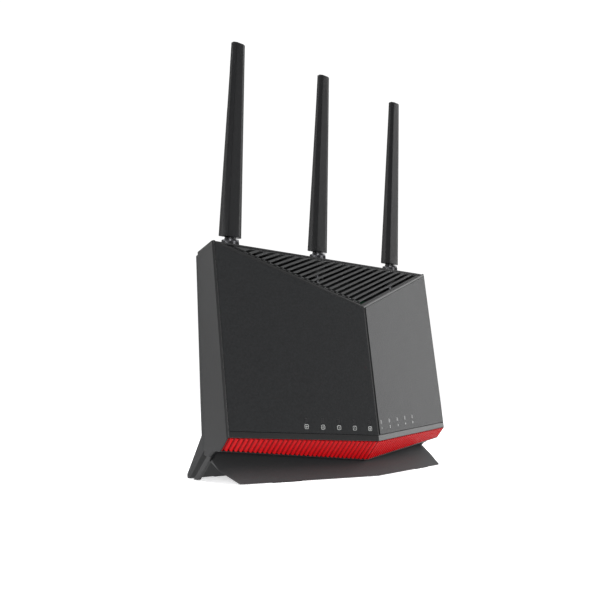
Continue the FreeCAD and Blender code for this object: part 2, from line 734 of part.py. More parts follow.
def front_panel(label, sign):
    groove = size.seam if sign < 0 else size.crease_groove
    corners = panel_outline(sign, size.panel_rim + size.seam, size.panel_sill + size.sill_gap, groove)
    return feature(label, plate(corners, size.panel_thickness).cut(light_bars(size.seam)))


def crease_insert():
    """The black strip at the bottom of the groove beside the crease."""
    sill = size.panel_sill + size.sill_gap
    near = panel_outline(1, size.panel_rim + size.seam, sill, size.insert_depth)
    far = panel_outline(1, size.panel_rim + size.seam, sill, size.crease_groove - size.seam)
    sunk = right_facet[1] * size.insert_depth
    corners = [corner - sunk for corner in (near[0], near[1], far[1], far[0])]
    return feature("crease_insert", plate(corners, size.panel_thickness - size.insert_depth))


def light_guides():
    guides = [trim(trim(bar, left_facet), right_facet) for bar in light_bars(0.0)]
    return feature("light_guides", Part.makeCompound(guides))


def vent_grille():
    """A slotted triangle that drops into the vent, with a flange under the shell."""
    normal = vent_facet[1]
    edge = [p - normal * size.vent_recess for p in vent_outline(size.seam)]
    inner = vent_outline(size.seam + size.vent_frame)
    under_ribs = size.vent_recess + size.vent_thickness
    under_shell = size.front_wall + size.seam
    body = plate(edge, under_shell - size.vent_recess)
    wide = [p - normal * under_shell for p in vent_outline(size.seam - size.vent_flange)]
    body = body.fuse(plate(wide, size.vent_flange).common(case_solid(rear_half, -size.seam, True)))
    body = body.cut(plate([p - normal * under_ribs for p in inner], 20))
    low_edge = unit(inner[0] - inner[1])
    into = unit((inner[2] - inner[1]) - low_edge * (inner[2] - inner[1]).dot(low_edge))

    def band(start, stop, top, thickness):
        """A bar along the slots' lower ends, from start to stop behind the inner outline's edge."""
        near, far = into * start, into * stop
        corners = [inner[1] + near, inner[0] + near, inner[0] + far, inner[1] + far]
        return plate([p - normal * top for p in corners[::-1]], thickness)

    shallow = band(-CLEAR, size.vent_channel, 0.0, size.vent_recess + size.vent_channel_depth)
    channel = band(0.0, size.vent_channel, 0.0, 20)
    beam = band(size.vent_channel, size.vent_channel + size.vent_beam, under_ribs, size.vent_beam)
    along = unit(top_right - crease_top)
    sideways = unit(low_edge - along * low_edge.dot(along))
    turned = FreeCAD.Rotation(along, sideways, normal, "ZXY")
    field = plate(inner, 20, 3.0)
    slots = []
    for i in range(int((inner[0] - inner[1]).dot(sideways) / size.vent_pitch)):
        middle_line = inner[1] + sideways * ((i + 0.5) * size.vent_pitch)
        slot = Part.makeBox(FAR, size.vent_slot, 40, V(-FAR / 2, -size.vent_slot / 2, -20))
        slot.Placement = FreeCAD.Placement(middle_line, turned)
        slot = slot.common(field)
        if slot.Volume > size.vent_shortest * size.vent_slot * 23:
            slots.append(slot)
    ribs = body.cut(slots + [shallow, channel.common(field)])
    return feature("vent_grille", ribs.fuse(beam.common(plate(inner, 20))))


def accent_strip():
    """The strip under the front: a plate in each half, with V grooves from its upper to its lower edge."""
    halves = []
    for sign, (point, normal) in ((-1, strip_left), (1, strip_right)):
        raised = plate(strip_outline(sign, size.seam, size.strip_shadow), size.strip_depth - size.seam)
        corner = low_left if sign < 0 else low_right
        step = (corner - crease_low) * (size.rib_pitch / half)
        down = unit(strip_low - crease_low)
        share = size.rib_valley / 2
        grooves = []
        for i in range(int(half / size.rib_pitch) + 1):
            at = crease_low + step * i - down * CLEAR
            brim = normal * size.seam
            corners = [at - step * share + brim, at - normal * size.rib_height, at + step * share + brim]
            grooves.append(Part.Face(Part.makePolygon(corners + corners[:1])).extrude(down * FAR / 10))
        halves.append(raised.cut(grooves))
    return feature("accent_strip", halves[0].fuse(halves[1]))


# ---------------------------------------------------------------- rear cover and stand

def foot_solid(walls):
    """The splayed rear foot, closed, or shrunk by its walls."""
    heel = V(0, size.depth / 2, size.foot_lip)
    toe = V(0, behind(size.foot_front_setback), size.ground_gap)
    planes = [facing(back_low, back_low + across, heel, in_foot), (heel, V(0, 1, 0)), (toe, V(0, 0, -1)),
              (toe, unit(V(0, -1, -1)))]
    for sign in (-1, 1):
        straight = V(sign * (half - size.foot_corner_inset), size.depth / 2, size.foot_lip)
        end = V(sign * (rear_half - size.foot_taper), behind(size.foot_flank_setback), size.foot_lip)
        flank = V(sign * rear_half, behind(size.flank_setback), size.corner_height)
        planes.append(facing(straight, end, flank, in_foot))
        planes.append(foot_flank_plane(sign))
        planes.append(facing(straight, end, end + V(0, 0, 9), in_foot))
        planes.append(side(sign, rear_half))
    walled = [(point, normal, size.shell_wall if walls else 0.0) for point, normal in planes]
    top = (V(0, 0, size.corner_height + 4), V(0, 0, 1), 0.0)
    return behind_split(between(walled + [top], True), 0.0 if walls else size.seam)


def ports(gap):
    """The outline of every port and button on the back, grown by a gap, through the port panel."""
    z = size.port_line
    wanted = [(x, size.lan_width, size.lan_height) for x in lan_x + [WAN_X]]
    wanted += [(x, size.usb_width, size.usb_height) for x in USB_X]
    wanted += [(DC_X, size.dc_size, size.dc_size)]
    through = (panel_in - 1, panel_out + CLEAR)
    cuts = [box((x - w / 2 - gap, x + w / 2 + gap), through, (z - h / 2 - gap, z + h / 2 + gap))
            for x, w, h in wanted]
    reach = size.power_size / 2 + size.button_gap
    cuts.append(box((POWER_X - reach, POWER_X + reach), through, (z - reach, z + reach)))
    radius = size.reset_radius + size.button_gap
    cuts.append(rod(radius, V(RESET_X, through[0], z), V(RESET_X, through[1], z)))
    return cuts


def louvres():
    """Slanting slots through the back wall, above the ports."""
    low = size.port_line + size.port_bay_height / 2 + size.louvre_lift
    wide = size.louvre_width / 2
    field = box((-wide, wide), (board_back + size.shell_wall, FAR / 2), (low, low + size.louvre_height))
    turned = FreeCAD.Rotation(V(0, 1, 0), size.louvre_lean)
    slots = []
    count = int(size.louvre_width / size.louvre_pitch) + 6
    for i in range(-count // 2, count // 2 + 1):
        slot = Part.makeBox(size.louvre_slot, FAR, FAR, V(-size.louvre_slot / 2, 0, -FAR / 2))
        slot.Placement = FreeCAD.Placement(V(i * size.louvre_pitch, 0, low + size.louvre_height / 2), turned)
        slots.append(slot.common(field))
    return [slot for slot in slots if slot.Volume > 20]


def foot_pads():
    """The rubber feet: two under the stand's front, two under the rear foot."""
    pads = []
    for sign in (-1, 1):
        x = sign * (half - size.pad_inset)
        y = depth_on(stand_front(sign), x, size.stand_foot)
        wide = size.pad_width / 2
        front = box((x - wide, x + wide), (y - CLEAR, y + CLEAR), (0, size.stand_foot + size.pad_sink))
        near = trim(front, stand_front(sign), -size.pad_reach)
        pads.append(trim(near, (stand_front(sign)[0], -stand_front(sign)[1]), size.shell_wall + size.pad_overhang))
        y = behind(size.foot_front_setback) + size.pad_depth / 2 + size.pad_margin
        wide = size.rear_pad_width / 2
        pads.append(box((x - wide, x + wide), (y - size.pad_depth / 2, y + size.pad_depth / 2),
                        (0, size.ground_gap + size.pad_sink)))
    return pads


def rear_cover():
    grown = case_solid(rear_half)
    outer = behind_split(grown, size.seam).fuse([grown.common(shoulder_box(0.0)), foot_solid(False)])
    inner = case_solid(rear_half, walls=True).fuse(foot_solid(True))
    wall, z = size.shell_wall, size.port_line
    bay_x, bay_z = size.port_bay_width / 2, size.port_bay_height / 2
    shell = outer.cut(inner)
    added = [box((-bay_x - wall, bay_x + wall), (panel_in, panel_in + 9), (z - bay_z - wall, z + bay_z + wall))]
    for x, height in board_posts:
        added.append(rod(size.board_post, V(x, board_back, height), V(x, size.depth / 2, height)))
    for x, height in case_screws:
        start = depth_on(split, x, height) + size.post_gap
        added.append(rod(size.screw_post + 0.6, V(x, start, height), V(x, size.depth / 2, height)))
    forward = case_solid(rear_half)
    shell = shell.fuse([item.common(forward) for item in added])
    y = behind(size.antenna_setback)
    seat = boss_seat()
    shell = shell.fuse([rod(size.boss_radius, V(x, y, seat - size.boss_height), V(x, y, seat)) for x in antenna_x])
    cuts = [box((-bay_x, bay_x), (panel_out, panel_out + 12), (z - bay_z, z + bay_z))]
    for x, height in board_posts:
        cuts.append(rod(size.screw_hole, V(x, board_back - 1, height), V(x, board_back + size.board_screw, height)))
    for x, height in case_screws:
        head = screw_seat(x, height)
        cuts.append(rod(size.screw_hole, V(x, 0, height), V(x, head + 9, height)))
        cuts.append(rod(size.screw_head + 0.3, V(x, head, height), V(x, head + 12, height)))
    for x in antenna_x:
        cuts.append(rod(size.boss_radius + 0.5, V(x, y, seat), V(x, y, seat + 20)))
        cuts.append(rod(size.jack_radius + size.seam, V(x, y, seat - 20), V(x, y, seat + 20)))
    return feature("rear_cover", shell.cut(cuts + ports(size.seam) + louvres() + foot_pads()))


def screw_seat(x, z):
    """Y of the face that a case screw's head bears on."""
    return depth_on(back_corner(1 if x > 0 else -1), x, z) - size.case_screw_seat


def boss_seat():
    return shoulder_at(behind(size.antenna_setback) - size.boss_radius)


def stand_front(sign):
    """Plane of one half of the stand's front."""
    toe = V(0, behind(size.stand_setback), size.stand_foot)
    end = V(sign * (half - size.stand_inset), behind(size.stand_side_setback), size.stand_foot)
    return facing(toe, end, toe + V(0, size.stand_lean, 1), in_stand)


def stand_screw_y(x):
    """Y of a stand screw, a set way behind the stand's front face at the screw's height."""
    return depth_on(stand_front(1 if x > 0 else -1), x, belly_at(x) - size.shell_wall) + size.stand_screw_back


def front_stand():
    planes = [(*stand_front(sign), size.shell_wall) for sign in (-1, 1)]
    for sign in (-1, 1):
        low = V(sign * (half - size.stand_inset), behind(size.stand_side_setback), size.stand_foot)
        heel_x = sign * (half - size.stand_heel_inset)
        heel = V(heel_x, behind(size.stand_heel_setback), size.stand_heel_height)
        top = V(sign * (half - size.stand_top_inset), behind(size.stand_top_setback), size.stand_top_height)
        planes.append((*facing(low, heel, top, in_stand), size.shell_wall))
        planes.append((*side(sign, half - size.stand_heel_inset), size.shell_wall))
    start = V(0, behind(size.stand_rise_setback), size.stand_foot)
    planes.append((start, V(0, 0, -1), 0.0))
    planes.append((start, unit(V(0, size.stand_rise, -1)), 0.0))
    planes.append((V(0, behind(size.stand_end_setback), 0), V(0, 1, 0), 0.0))
    planes.append((V(0, 0, size.belly_side_height + 1), V(0, 0, 1), 0.0))
    outer = between(planes).cut(case_solid(half + CLEAR, size.seam))
    inner = between([(point, normal, wall or -CLEAR) for point, normal, wall in planes], True)
    inner = inner.cut(case_solid(half + CLEAR, size.seam + size.shell_wall))
    stand = outer.cut(inner)
    holes = [rod(size.screw_hole, V(x, stand_screw_y(x), 0), V(x, stand_screw_y(x), FAR / 2)) for x in stand_screws]
    legs = [side_wall(sign) for sign in (-1, 1)]
    return feature("front_stand", stand.cut(holes + foot_pads() + legs))


def screw(start, direction, length):
    """A screw whose head's underside is at start, pointing along a direction."""
    shank = rod(size.screw_radius, start, start + direction * length)
    head = rod(size.screw_head, start - direction * size.screw_head_height, start)
    recess = rod(size.screw_radius * 0.9, start - direction * (size.screw_head_height + 1),
                 start - direction * size.screw_head_height * 0.45)
    return shank.fuse(head).cut(recess)


def screws():
    forward, up = V(0, -1, 0), V(0, 0, 1)
    seats = []
    for x, z in case_screws:
        y = screw_seat(x, z)
        seats.append(screw(V(x, y, z), forward, y - depth_on(split, x, z) + size.case_screw_bite))
    feature("case_screws", Part.makeCompound(seats))
    front = behind(size.board_setback)
    seats = [screw(V(x, front, z), -forward, size.board_screw) for x, z in board_posts]
    feature("board_screws", Part.makeCompound(seats))
    front = behind(size.light_board_setback) + size.light_board
    seats = [screw(V(x, front, z), forward, size.light_board + size.small_screw_bite) for x, z in light_posts]
    feature("light_board_screws", Part.makeCompound(seats))
    under = size.shell_wall + size.screw_sink
    seats = [screw(V(x, stand_screw_y(x), belly_at(x) - under), up, size.board_screw) for x in stand_screws]
    feature("stand_screws", Part.makeCompound(seats))
    spot = V(key_board_x(), key_y, sum(key_heights.values()) / 2)
    feature("key_board_screw", screw(spot, V(1, 0, 0), size.key_board + size.small_screw_bite))


def key_board_x():
    """Inner face of the small board behind the side keys."""
    stack = size.button_gap * 2 + size.key_flange + size.key_travel + size.key_switch + size.key_board
    return half - size.shell_wall - stack


front_shell()
front_panel("left_panel", -1)
front_panel("right_panel", 1)
crease_insert()
light_guides()
vent_grille()
accent_strip()
rear_cover()
front_stand()
feature("rubber_feet", Part.makeCompound(foot_pads()))
screws()


# ---------------------------------------------------------------- boards and what they carry

def board(label, width, height, thickness, x, y, z, holes):
    """A board that faces the front, with its middle at x, y, z and round holes for its screws."""
    body = new_body(label, x, y, z)
    sketch = block(sketch_on(body, "XZ_Plane"), width, height)
    for hole_x, hole_z in holes:
        disc(sketch, "screw_hole", hole_x, hole_z)
    pad(body, sketch, thickness, backwards=True)
    return keep(body, label)


def crate(name, x, y, z, length, width, height):
    """A plain block as a primitive, with its low corner at x, y, z."""
    item = doc.addObject("Part::Box", name)
    return bind(item, Placement__Base__x=x, Placement__Base__y=y, Placement__Base__z=z,
                Length=length, Width=width, Height=height)


middle_line = "depth / 2"
half_board = "(width / 2 - board_margin - board_post_inset)"
board_height = "(case_height - board_top_drop - board_bottom)"
corner_z = f"({board_height} / 2 - board_post_inset)"
spots = [(f"{a}{half_board}", f"{b}{corner_z}") for a in ("-", "") for b in ("-", "")]
board("main_board", "width - 2 * board_margin", board_height, "board_thickness", "0",
      f"board_setback - {middle_line}", f"board_bottom + {board_height} / 2", spots)

light_z = "crease_height + light_lift + light_board_lift"
light_span = f"({LIGHT_COUNT} * light_pitch / 2 + light_screw_out)"
board("light_board", f"2 * ({light_span} + light_board_margin)", "light_board_height", "light_board", "0",
      f"light_board_setback - {middle_line}", light_z, [(f"-{light_span}", "0"), (light_span, "0")])

front_of_board = f"board_setback - {middle_line}"
back_of_board = f"board_setback + board_thickness - {middle_line}"
SHIELD_SPOTS = [(-66, 108), (66, 108), (0, 116)]
cans = []
for number, (x, z) in enumerate(SHIELD_SPOTS):
    cans.append(crate(f"Can{number}", f"{x} - shield_width / 2", f"{front_of_board} - shield_height",
                      f"{z} - shield_width / 2", "shield_width", "shield_height", "shield_width"))
group("radio_shields", cans)
chips = [crate("Processor", "-8.5", f"{front_of_board} - chip_height", "70", "17", "chip_height", "17"),
         crate("Memory", "-35", f"{front_of_board} - chip_height", "72", "11", "chip_height", "14"),
         crate("Switch_chip", "40", f"{front_of_board} - chip_height", "62", "14", "chip_height", "14")]
group("chips", chips)
keep(crate("Pad", "-8", f"{front_of_board} - chip_height - pad_thickness", "70.5", "16", "pad_thickness", "16"),
     "thermal_pad")

sink = new_body("Sink", "0", f"{front_of_board} - chip_height - pad_thickness", "78.5")
pad(sink, block(sketch_on(sink, "XZ_Plane"), "sink_width", "sink_height"), "sink_base")
fin_sketch = block(sketch_on(sink, "XZ_Plane", "sink_base"), "sink_fin", "sink_height",
                   "-(sink_width - sink_fin) / 2")
fin = pad(sink, fin_sketch, "sink_depth - sink_base")
rows = sink.newObject("PartDesign::LinearPattern", "Sink_fins")
rows.Originals = [fin]
rows.Direction = (fin_sketch, ["H_Axis"])
rows.Occurrences = 11
bind(rows, Length="sink_width - sink_fin")
sink.Tip = rows
keep(sink, "heat_sink")

leds = []
for number, spot in enumerate(light_spots()):
    place = f"({number} - ({LIGHT_COUNT} - 1) / 2) * light_pitch - light_width / 2"
    led = crate(f"Led{number}", place, f"light_board_setback - {middle_line} - led_height", "0",
                "light_width", "led_height", "light_height")
    led.setExpression("Placement.Base.z", None)
    led.Placement.Base.z = spot.z - size.light_height / 2
    leds.append(led)
group("status_leds", leds)


def ribbon():
    """The flat lead from the light board to the main board: two ends and an easy bend between."""
    start = behind(size.light_board_setback) + size.light_board
    end = behind(size.board_setback)
    z = size.crease_height + size.light_lift + 2
    end -= 0.5
    curve = Part.Arc(V(0, start, z), V(0, (start + end) / 2, z + 3), V(0, end, z))
    arc = curve.toShape()
    section = Part.makePolygon([V(-8, start, z), V(8, start, z), V(8, start, z + 0.3), V(-8, start, z + 0.3),
                                V(-8, start, z)])
    return feature("light_ribbon", Part.Wire([arc]).makePipeShell([section], True, False))


ribbon()


def socket(label, xs):
    """Network sockets in a row: a block with a mouth and a latch notch, open at the back."""
    made = []
    for number, x in enumerate(xs):
        body = new_body(f"{label}_{number}", x, back_of_board, "port_line")
        length = f"port_panel + shell_wall - board_setback - board_thickness - {PROUD}"
        pad(body, block(sketch_on(body, "XZ_Plane"), "lan_width", "lan_height"), length, backwards=True)
        mouth = sketch_on(body, "XZ_Plane", f"-({length})")
        low, high = "-lan_mouth_height / 2 + 1", "lan_mouth_height / 2 + 1"
        wide, latch, notch = "lan_mouth_width / 2", "latch_width / 2", "-lan_mouth_height / 2 + 1 - latch_height"
        outline(mouth, [(f"-({wide})", low), (f"-({latch})", low), (f"-({latch})", notch), (latch, notch),
                        (latch, low), (wide, low), (wide, high), (f"-({wide})", high)])
        pocket(body, mouth, "lan_mouth_depth", backwards=True)
        made.append(body)
    return group(label, made) if len(made) > 1 else keep(made[0], label)


PROUD = "0.2"
socket("lan_sockets", [f"10 + {i} * lan_pitch" for i in range(LAN_COUNT)])
socket("wan_socket", [str(WAN_X)])

shells, tongues = [], []
usb_length = "port_panel + shell_wall - board_setback - board_thickness"
for number, x in enumerate(USB_X):
    body = new_body(f"Usb{number}", str(x), back_of_board, "port_line")
    pad(body, block(sketch_on(body, "XZ_Plane"), "usb_width", "usb_height"), usb_length, backwards=True)
    hollow = block(sketch_on(body, "XZ_Plane", f"-({usb_length})"), "usb_width - 2 * usb_skin",
                   "usb_height - 2 * usb_skin")
    pocket(body, hollow, f"{usb_length} - 1.2", backwards=True)
    shells.append(body)
    tongues.append(crate(f"Tongue{number}", f"{x} - usb_width / 2 + usb_skin + 0.9", f"{back_of_board} + 1.2",
                         "port_line + usb_height / 2 - usb_skin - usb_tongue - 0.7",
                         "usb_width - 2 * usb_skin - 1.8", f"{usb_length} - 2.2", "usb_tongue"))
group("usb_shells", shells)
group("usb_tongues", tongues)

inlet = new_body("Inlet", str(DC_X), back_of_board, "port_line")
pad(inlet, block(sketch_on(inlet, "XZ_Plane"), "dc_size", "dc_size"), usb_length, backwards=True)
pocket(inlet, disc(sketch_on(inlet, "XZ_Plane", f"-({usb_length})"), "dc_bore"), "dc_depth", backwards=True)
keep(inlet, "power_inlet")
pin = doc.addObject("Part::Cylinder", "Inlet_pin")
bind(pin, Radius="dc_pin", Height="dc_depth - 0.8", Placement__Base__x=str(DC_X),
     Placement__Base__y=f"{back_of_board} + {usb_length} - dc_depth", Placement__Base__z="port_line")
pin.Placement.Rotation = FreeCAD.Rotation(V(1, 0, 0), -90)
keep(pin, "power_inlet_pin")


# ---------------------------------------------------------------- buttons and their switches

def pusher(label, x, y, z, section, flange, reach, flange_reach):
    """A button that faces the back: a flange inside, and a stem through the port panel."""
    body = new_body(label, x, y, z)
    pad(body, flange(sketch_on(body, "XZ_Plane")), flange_reach, backwards=True)
    pad(body, section(sketch_on(body, "XZ_Plane")), reach, backwards=True)
    return keep(body, label)


panel_inner = f"port_panel - {middle_line}"
pusher("power_button", str(POWER_X), f"{panel_inner} - button_gap - 2.2", "port_line",
       lambda s: block(s, "power_size", "power_size"), lambda s: block(s, "power_size + 2", "power_size + 2"),
       "2.2 + button_gap + shell_wall + power_travel + 0.3", "2.2")
pusher("reset_button", str(RESET_X), f"{panel_inner} - button_gap - 1.4", "port_line",
       lambda s: disc(s, "reset_radius"), lambda s: disc(s, "reset_radius + 1"),
       "1.4 + button_gap + shell_wall - 0.4", "1.4")
switch_gap = f"(port_panel - board_setback - board_thickness - button_gap * 2"
keep(crate("Power_switch", f"{POWER_X} - 6", back_of_board, "port_line - 6", "12",
           f"{switch_gap} - 2.3 - power_travel)", "12"), "power_switch")
keep(crate("Reset_switch", f"{RESET_X} - 3", back_of_board, "port_line - 3", "6",
           f"{switch_gap} - 1.5 - reset_travel)", "6"), "reset_switch")

key_place = f"corner_setback + key_back - {middle_line}"
key_zs = {"pairing": "corner_height + pairing_key_lift",
          "wireless": "corner_height + wireless_key_lift"}
switches = []
for name, z in key_zs.items():
    key = new_body(f"{name}_key", "width / 2 - shell_wall - button_gap - key_flange", key_place, z)
    wide, tall = "key_depth + 2 * flange_reach", "key_width + 2 * flange_reach"
    pad(key, block(sketch_on(key, "YZ_Plane"), wide, tall), "key_flange")
    pad(key, block(sketch_on(key, "YZ_Plane"), "key_depth", "key_width"), "key_flange + button_gap + shell_wall")
    keep(key, f"{name}_key")
    low_x = "width / 2 - shell_wall - 2 * button_gap - key_flange - key_travel - key_switch"
    switches.append(crate(f"{name}_switch", low_x, f"{key_place} - key_switch_size / 2",
                          f"{z} - key_switch_size / 2", "key_switch", "key_switch_size", "key_switch_size"))
group("key_switches", switches)
key_board = new_body("Key_board", f"{low_x} - key_board", key_place,
                     "corner_height + (pairing_key_lift + wireless_key_lift) / 2")
key_sketch = block(sketch_on(key_board, "YZ_Plane"), "key_board_width", "key_board_height")
pad(key_board, disc(key_sketch, "screw_hole"), "key_board")
keep(key_board, "key_board")


# ---------------------------------------------------------------- antennas

blade_foot = ridge_z + size.blade_lift
pin_z = blade_foot + size.pin_lift
collar_top = blade_foot - size.collar_top_drop
antenna_y = behind(size.antenna_setback)


def ring(radius, bore, low, high, x):
    """An upright tube round an antenna's axis."""
    axis = V(x, antenna_y, 0)
    tube = rod(radius, axis + V(0, 0, low), axis + V(0, 0, high))
    return tube.cut(rod(bore, axis + V(0, 0, low - 1), axis + V(0, 0, high + 1))) if bore else tube


def hexagon(across_flats, low, high, x, bore):
    corner = across_flats / math.sqrt(3)
    points = [V(x + corner * math.cos(i * math.pi / 3), antenna_y + corner * math.sin(i * math.pi / 3), low)
              for i in range(6)]
    body = Part.Face(Part.makePolygon(points + points[:1])).extrude(V(0, 0, high - low))
    return body.cut(ring(bore, 0, low - 1, high + 1, x))


def blade_section(width, depth, centre, z, x, shrink=0.0):
    """The blade's outline at a height: a flat front with sloping sides, and bevelled corners at the back."""
    w, front, back = width / 2 - shrink, centre - depth / 2 + shrink, centre + depth / 2 - shrink
    share = width / size.blade_width
    slope, bevel, nose = size.blade_ridge * share, size.blade_bevel * share, size.blade_nose * share - shrink / 2
    points = [(-nose, front), (nose, front), (w, front + slope), (w, back - bevel), (w - bevel, back),
              (bevel - w, back), (-w, back - bevel), (-w, front + slope)]
    corners = [V(x + px, antenna_y + py, z) for px, py in points]
    return Part.makePolygon(corners + corners[:1])


def blade_solid(x, share_low, share_high, shrink=0.0):
    """The blade between two shares of its length, with its surface moved in by shrink."""
    wires = []
    for share in (share_low, share_high):
        width = size.blade_width + (size.blade_tip_width - size.blade_width) * share
        depth = size.blade_depth + (size.blade_tip_depth - size.blade_depth) * share
        z = blade_foot + size.antenna_length * share
        wires.append(blade_section(width, depth, -size.blade_tip_forward * share, z, x, shrink))
    return Part.makeLoft(wires, True, True)


def antenna(name, x):
    fit = size.running_fit
    radiator_low, radiator_high = 0.13, 0.72
    seat = boss_seat()
    axis = V(x, antenna_y, 0)
    collar = ring(size.collar_radius, size.jack_radius + fit, collar_top - size.collar_height, collar_top - 1.2, x)
    collar = collar.fuse(ring(size.collar_radius, size.neck_radius - 1.2, collar_top - 1.2, collar_top, x))
    feature(f"{name}_antenna_nut", collar)
    clear = size.pin_lift + 0.3
    neck = ring(size.neck_radius, 0, collar_top, pin_z - clear, x)
    neck = neck.fuse(ring(size.neck_radius - 1.3, 0, collar_top - 1.0, collar_top, x))
    w = size.tongue_width / 2
    y = antenna_y
    thick = size.tongue_radius
    tongue = box((x - w, x + w), (y - thick, y + thick), (pin_z - clear, pin_z))
    tongue = tongue.fuse(rod(thick, V(x - w, y, pin_z), V(x + w, y, pin_z)))
    hole = rod(size.pin_radius + fit, V(x - 20, y, pin_z), V(x + 20, y, pin_z))
    feature(f"{name}_antenna_neck", neck.fuse(tongue).cut(hole))

    outer = blade_solid(x, 0.0, 1.0)
    below = box((x - 20, x + 20), (y, y + 20), (blade_foot - 1, pin_z))
    heel = below.cut(rod(size.pin_lift, V(x - 21, y, pin_z), V(x + 21, y, pin_z)))
    slot_w = w + size.tongue_gap
    reach = size.tongue_radius + size.tongue_gap
    slot = box((x - slot_w, x + slot_w), (y - reach, y + 20), (blade_foot - 1, pin_z + reach))
    back_low = V(x, y + size.blade_depth / 2, blade_foot)
    back_high = V(x, y - size.blade_tip_forward + size.blade_tip_depth / 2, blade_foot + size.antenna_length)
    back_face = facing(back_low, back_low + across, back_high, V(x, y - 50, pin_z))
    cover_foot = blade_foot + size.blade_cover_lift
    upper = box((x - 20, x + 20), (y - 40, y + 40), (cover_foot, cover_foot + FAR / 2))
    cover_space = trim(upper, (back_face[0], -back_face[1]), size.blade_cover)
    hollow = blade_solid(x, radiator_low, 0.965, size.blade_wall)
    half_pin = size.blade_width / 2 - size.pin_cover
    pin_hole = rod(size.pin_radius + 0.01, V(x - half_pin - 0.01, y, pin_z), V(x + half_pin + 0.01, y, pin_z))
    blade = outer.cut([heel, slot, cover_space, hollow, pin_hole])
    feature(f"{name}_antenna_blade", blade)
    inset_space = trim(upper, (back_face[0], -back_face[1]), size.blade_cover - size.seam)
    cover = outer.common(inset_space).cut(box((x - 20, x + 20), (y - 40, y + 40), (0, cover_foot + size.seam)))
    feature(f"{name}_antenna_cover", cover)
    feature(f"{name}_antenna_pin", rod(size.pin_radius, V(x - half_pin, y, pin_z), V(x + half_pin, y, pin_z)))
    strip = []
    for share in (radiator_low, radiator_high):
        z = blade_foot + size.antenna_length * share
        cy = y - size.blade_tip_forward * share
        corners = [V(x - 3, cy - 0.4, z), V(x + 3, cy - 0.4, z), V(x + 3, cy + 0.4, z), V(x - 3, cy + 0.4, z)]
        strip.append(Part.makePolygon(corners + corners[:1]))
    feature(f"{name}_antenna_radiator", Part.makeLoft(strip, True, True))
    jack = ring(size.jack_radius, 0.7, seat - size.boss_height - 7, collar_top - 2.4, x)
    jack = jack.fuse(ring(5.0, 0.7, seat - size.boss_height - 3, seat - size.boss_height, x))
    nut = hexagon(size.jack_nut, seat, seat + size.jack_nut_height, x, size.jack_radius + 0.02)
    end = V(x, board_back, board_high - 10)
    bend = seat - size.boss_height - 7 - end.z
    radius = antenna_y - end.y
    start = V(x, antenna_y, end.z + bend)
    turn = V(x, antenna_y, end.z + radius)
    shift = radius * (1 - math.cos(math.pi / 4))
    arc = Part.Arc(turn, V(x, antenna_y - shift, turn.z - radius * math.sin(math.pi / 4)), end + V(0, 0, 0))
    path = Part.Wire([Part.makeLine(start, turn), arc.toShape()])
    profile = Part.Wire([Part.makeCircle(0.65, start, V(0, 0, 1))])
    return jack, nut, path.makePipeShell([profile], True, False)


jacks, nuts, leads = zip(*[antenna(name, x) for name, x in zip(SIDES, antenna_x)])
feature("antenna_jacks", Part.makeCompound(list(jacks)))
feature("antenna_jack_nuts", Part.makeCompound(list(nuts)))
feature("antenna_leads", Part.makeCompound(list(leads)))


# ---------------------------------------------------------------- check and export

doc.recompute()
for item in doc.Objects:
    if {"Invalid", "Error"} & set(item.State):
        raise RuntimeError(f"{item.Label} did not compute: {item.State}")
os.makedirs(PARTS, exist_ok=True)
for item in kept:
    if item.Shape.isNull() or not item.Shape.isValid():
        raise RuntimeError(f"{item.Label} is not a valid shape")
    item.Shape.exportStep(f"{PARTS}/{item.Label}.step")
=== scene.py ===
# %% [markdown]
# # A wireless router, finished
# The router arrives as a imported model: a faceted case on a stand, three antennas that tilt and turn,
# keys, ports and the boards inside. Its shapes and places are already right, so this lesson gives it
# what a computer-aided design leaves out: soft edges, surfaces, printed signs and sprung contacts.

import json
import math

import bmesh
import bpy
from mathutils import Matrix, Vector


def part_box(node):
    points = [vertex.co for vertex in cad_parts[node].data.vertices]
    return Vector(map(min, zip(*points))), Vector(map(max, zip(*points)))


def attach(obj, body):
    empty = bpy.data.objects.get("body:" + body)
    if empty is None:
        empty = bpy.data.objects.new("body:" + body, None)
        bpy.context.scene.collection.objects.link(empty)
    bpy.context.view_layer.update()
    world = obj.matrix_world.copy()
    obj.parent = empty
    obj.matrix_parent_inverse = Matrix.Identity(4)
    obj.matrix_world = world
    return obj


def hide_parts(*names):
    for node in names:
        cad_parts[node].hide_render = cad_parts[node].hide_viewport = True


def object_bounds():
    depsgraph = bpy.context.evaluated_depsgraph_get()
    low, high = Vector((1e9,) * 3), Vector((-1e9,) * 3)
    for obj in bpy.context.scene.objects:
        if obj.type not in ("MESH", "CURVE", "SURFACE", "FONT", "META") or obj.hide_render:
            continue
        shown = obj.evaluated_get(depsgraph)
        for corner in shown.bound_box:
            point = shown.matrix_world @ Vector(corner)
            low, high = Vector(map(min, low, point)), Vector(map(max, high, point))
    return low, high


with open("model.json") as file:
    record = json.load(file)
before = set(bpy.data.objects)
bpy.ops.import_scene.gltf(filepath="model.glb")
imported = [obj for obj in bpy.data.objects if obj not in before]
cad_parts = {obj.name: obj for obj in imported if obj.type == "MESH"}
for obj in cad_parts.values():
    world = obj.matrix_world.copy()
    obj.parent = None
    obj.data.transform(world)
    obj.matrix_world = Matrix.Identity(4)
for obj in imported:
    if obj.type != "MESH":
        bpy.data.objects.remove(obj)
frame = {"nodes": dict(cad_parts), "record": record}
model_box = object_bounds()
NODES = frame["nodes"]
RECORD = frame["record"]
MM = 0.001
print("sub-parts:", len(NODES))
print("the model's box:", [tuple(round(v, 4) for v in corner) for corner in model_box])

# %% [markdown]
# ## The camera
# A router on a shelf is looked at from low down and to its left. A camera in Blender looks along its
# own -Z, so 90 degrees about X levels it. A little more than that tips it up to the antennas.

